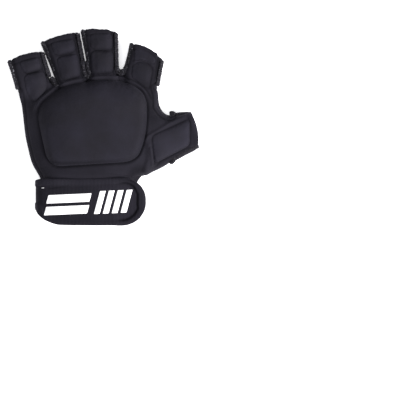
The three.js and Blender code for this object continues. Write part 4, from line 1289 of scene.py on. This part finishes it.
# the padded rim is narrow along the lower edge, wide round the tip, and flat at the lower left
rim_band = np.interp(sy, [-86, -79, -68, -55, -46], [3.4, 4.8, 6.2, 5.8, 5.4])
rim_band -= 1.7 * smooth_step(sx, 8, 20) * smooth_step(sy, -58, -50)
low_left = smooth_step(-sy, 72, 78) * (1 - smooth_step(sx, 6, 16))
puffed = np.sqrt(np.clip(np.sin(math.pi * np.clip(top_gap / rim_band, 0, 1)), 0, 1))
rim_puff = 0.8 * puffed * smooth_step(strap.normals[:, 2], 0.45, 0.85) * (1 - 0.75 * low_left)
recess = -0.9 * smooth_step(top_gap - rim_band, -0.9, 0.4) * (1 - 0.75 * low_left)
top_relief = rim_puff + recess + 0.14 * wander(np.column_stack([sx / 4, sy, sz]), 3.5, 101)
edge_band = -0.8 * (1 - smooth_step(side_gap, 3.0, 6.0)) - 0.35 * bump_at(side_gap, 3.6, 0.5)
end_seam = -0.6 * bump_at(along, 9, 0.8)
palm_relief = edge_band + end_seam - 0.12 * (1 + wander(strap.points, 12, 102))
top_part = smooth_step(along, TOP_START - 3, TOP_START + 3)
strap_relief = lerp(palm_relief, top_relief, top_part)

# painted shade on the band: along its stitching, and on top where its rim meets the recess, over the recess,
# towards the tip and the lower left, and as the heel's shadow on its upper edge near the tip
near_tip = smooth_step(sx, 9, 19)
palm_painted_shade = np.maximum(bump_at(side_gap, 3.6, 0.6), bump_at(along, 9, 0.8)) * 0.7
top_painted_shade = np.max([
    lerp(np.interp(sy, [-80, -60], [0.1, 0.4]), 1.0, near_tip)
    * bump_at(top_gap, rim_band, lerp(0.8, 1.3, near_tip)),
    lerp(0.42, 0.12, smooth_step(sx, -25, 10)) * smooth_step(top_gap, rim_band, rim_band + 1)
    + 0.4 * near_tip * (top_gap < rim_band),
    0.32 * low_left,
    0.4 * smooth_step(sx, 18, 30) * smooth_step(sy, -60, -54),
    0.6 * bump_at(sx, -55, 3.5) * smooth_step(-sy, 52, 57),
    0.85 * bump_at(top_gap, np.maximum(8.0 - 0.14 * (sx + 44), 5.9), 1.1) * bump_at(sx, -41, 13) * (sy > -60),
    # painted shadow of the heel on the strap's upper edge near its tip
    0.85 * (1 - smooth_step(top_gap, 1.2, 3.0)) * bump_at(sx, 25, 5) * (sy > -56),
], axis=0)
strap_painted_shade = np.clip(lerp(palm_painted_shade, top_painted_shade, top_part), 0, 1)
points, faces, source, turn = strap.wall(STRAP_WALL / 2 + strap_relief, STRAP_WALL / 2)
wrist_band = make_piece("wrist_band", points, faces, band_knit, "strap_band", ["wrist_strap"],
                        uv=strap_uv[source], crease=strap_painted_shade[source] * (turn < 0.2))


# ---------------------------------------------------------------- print, stitches and hooks

strap_skin = skin_over(strap, STRAP_WALL / 2 + strap_relief)


def raised_shape(outline, thick):
    """A thin raised shape of print on the strap, rounded at its edges."""
    places, triangles = pad_mesh(outline, [0, 0.12, 0.3, 0.6], 1.0)
    inside = np.maximum(inside_by(places, outline), 0)
    base = heights_on(strap_skin, places)
    base = np.where(np.isnan(base), np.nanmean(base), base)
    top = base - 0.1 + (thick + 0.1) * (1 - np.exp(-inside / 0.16))
    return slab(places, triangles, top, base - 0.35)


PRINT_SLANT = 0.27  # sideways to up
PRINT_CLIMB = 0.045  # up to sideways, towards the strap's tip
PRINT_BARS = [(-52.5, -14.5, -75.6, -68.2), (-50.5, -12.5, -65.4, -58),
              *((left, left + 5.2, -76.4, -56.4) for left in (-8.6, -0.8, 7, 14.8))]
prints = []
for left, right, low, high in PRINT_BARS:
    lean = (high - low) * PRINT_SLANT
    corners = [(left, low), (right, low), (right + lean, high), (left + lean, high)]
    corners = [(px, py + PRINT_CLIMB * (px + 5)) for px, py in corners]
    prints.append(raised_shape(rounded_outline(corners, radius=0.6, spacing=0.35), thick=0.45))
make_piece("strap_stripes", *joined(prints), raised_print, "strap_print")

STITCH_LONG, STITCH_GAP = 2.3, 1.0
STITCH_INSET = 3.6
STITCHED = (10, 87)  # from where to where along the strap


def one_stitch():
    """A single stitch: a short thread sunk at both ends, along X."""
    bpy.ops.object.select_all(action="DESELECT")
    bpy.ops.mesh.primitive_uv_sphere_add(segments=8, ring_count=6, radius=0.5, location=(0, 0, 0))
    bpy.ops.object.mode_set(mode="EDIT")
    bpy.ops.mesh.select_all(action="SELECT")
    bpy.ops.transform.resize(value=(STITCH_LONG, 0.5, 0.5))
    bpy.ops.object.mode_set(mode="OBJECT")
    points, faces = taken(bpy.context.object)
    points[:, 2] -= 0.25 * np.abs(points[:, 0]) ** 1.5
    return points, faces


STITCH = one_stitch()


def stitch_run(line, normals, length=STITCH_LONG, width=1.0):
    """Stitches end to end along a line that lies on the cloth."""
    along = lengths_along(line)
    starts = np.arange(0.6, along[-1] - length, length + STITCH_GAP)
    spots, ups = (at_lengths(starts + length / 2, along, values) for values in (line, normals))
    aheads = unit(at_lengths(starts + length, along, line) - at_lengths(starts, along, line))
    sides = unit(np.cross(ups, aheads))
    parts = []
    for spot, ahead, side in zip(spots, aheads, sides):
        axes = np.array([ahead * length / STITCH_LONG, side * width, np.cross(ahead, side) * width])
        parts.append((STITCH[0] @ axes + spot, STITCH[1]))
    return parts


def strap_line(side):
    """The line of stitches near one of the strap's edges, and the way out of the cloth there."""
    rows = np.flatnonzero((strap_at > STITCHED[0]) & (strap_at < STITCHED[1]))
    want = strap_rows(strap_at[rows])[2] + side * (strap_half[rows] + RIM - STITCH_INSET)
    nearest = np.argmin(np.abs(strap_grid[rows, :, 1] - want[:, None]), axis=1)
    on_line = strap.welded.reshape(len(strap_at), -1)[rows, nearest]
    normals = strap.normals[on_line]
    line = strap.points[on_line] + normals * (STRAP_WALL / 2 + strap_relief[on_line] - 0.05)[:, None]
    line[:, 1] = want
    return line, normals


stitches = stitch_run(*strap_line(-1)) + stitch_run(*strap_line(1))
make_piece("strap_stitches", *joined(stitches), dark_thread, "thread")

# one pale stitch holds the strap's tab at the top left of its recess
mark = np.column_stack([np.linspace(-55.6, -50.8, 9), np.full(9, -53.7)])
mark = raised(mark, heights_on(strap_skin, mark) + 0.15)
tab_stitch = stitch_run(mark, np.tile((0, 0, 1.0), (9, 1)), length=3.2, width=0.8)
make_piece("tab_stitch", *joined(tab_stitch), raised_print, "thread")

# the hook patch follows the underside of the strap's free end
HOOK_START, HOOK_END, HOOK_HALF, HOOK_Y, HOOK_PITCH = 4.0, 32.0, 14.5, -65.7, 1.5
drop = STRAP_WALL / 2 + 0.3 + HOOK_WALL / 2
hook_x, hook_z = (values[strap_at > 100] for values in strap_rows(strap_at)[:2])
on_tape = (hook_x > HOOK_START) & (hook_x < HOOK_END)
hook_x, hook_z = hook_x[on_tape], hook_z[on_tape] - drop
tape_grid = np.dstack(np.broadcast_arrays(
    hook_x[:, None], HOOK_Y + np.linspace(-HOOK_HALF, HOOK_HALF, 25), hook_z[:, None]))
points, faces, _, _ = Cloth(tape_grid).wall(HOOK_WALL / 2, HOOK_WALL / 2 - 0.5, rim=2)
make_piece("hook_tape", points, faces, hook_nylon, "hook_tape", ["hook_patch"])


def one_hook():
    """A moulded hook: half of a thin ring that stands on the tape."""
    bpy.ops.object.select_all(action="DESELECT")
    bpy.ops.mesh.primitive_torus_add(
        major_segments=12, minor_segments=5, major_radius=0.42, minor_radius=0.11, location=(0, 0, 0),
        rotation=(math.pi / 2, 0, 0))
    bpy.ops.object.transform_apply(location=True, rotation=True, scale=True)
    bpy.ops.object.mode_set(mode="EDIT")
    bpy.ops.mesh.select_all(action="SELECT")
    bpy.ops.mesh.bisect(plane_co=(0, 0, 0), plane_no=(0, 0, 1), clear_inner=True, use_fill=True)
    bpy.ops.object.mode_set(mode="OBJECT")
    points, faces = taken(bpy.context.object)
    return points * (1, 1, -1.3), [face[::-1] for face in faces]


hook_points, hook_faces = one_hook()
hooks = []
for i, hx in enumerate(np.arange(HOOK_START + 1.2, HOOK_END - 0.8, HOOK_PITCH)):
    hz = np.interp(hx, hook_x, hook_z) - HOOK_WALL / 2 + 0.55
    for hy in np.arange(HOOK_Y - HOOK_HALF + 1, HOOK_Y + HOOK_HALF - 0.6, HOOK_PITCH):
        hooks.append((hook_points + (hx, hy + 0.7 * (i % 2), hz), hook_faces))
make_piece("hook_field", *joined(hooks), hook_nylon, "hook_tape")
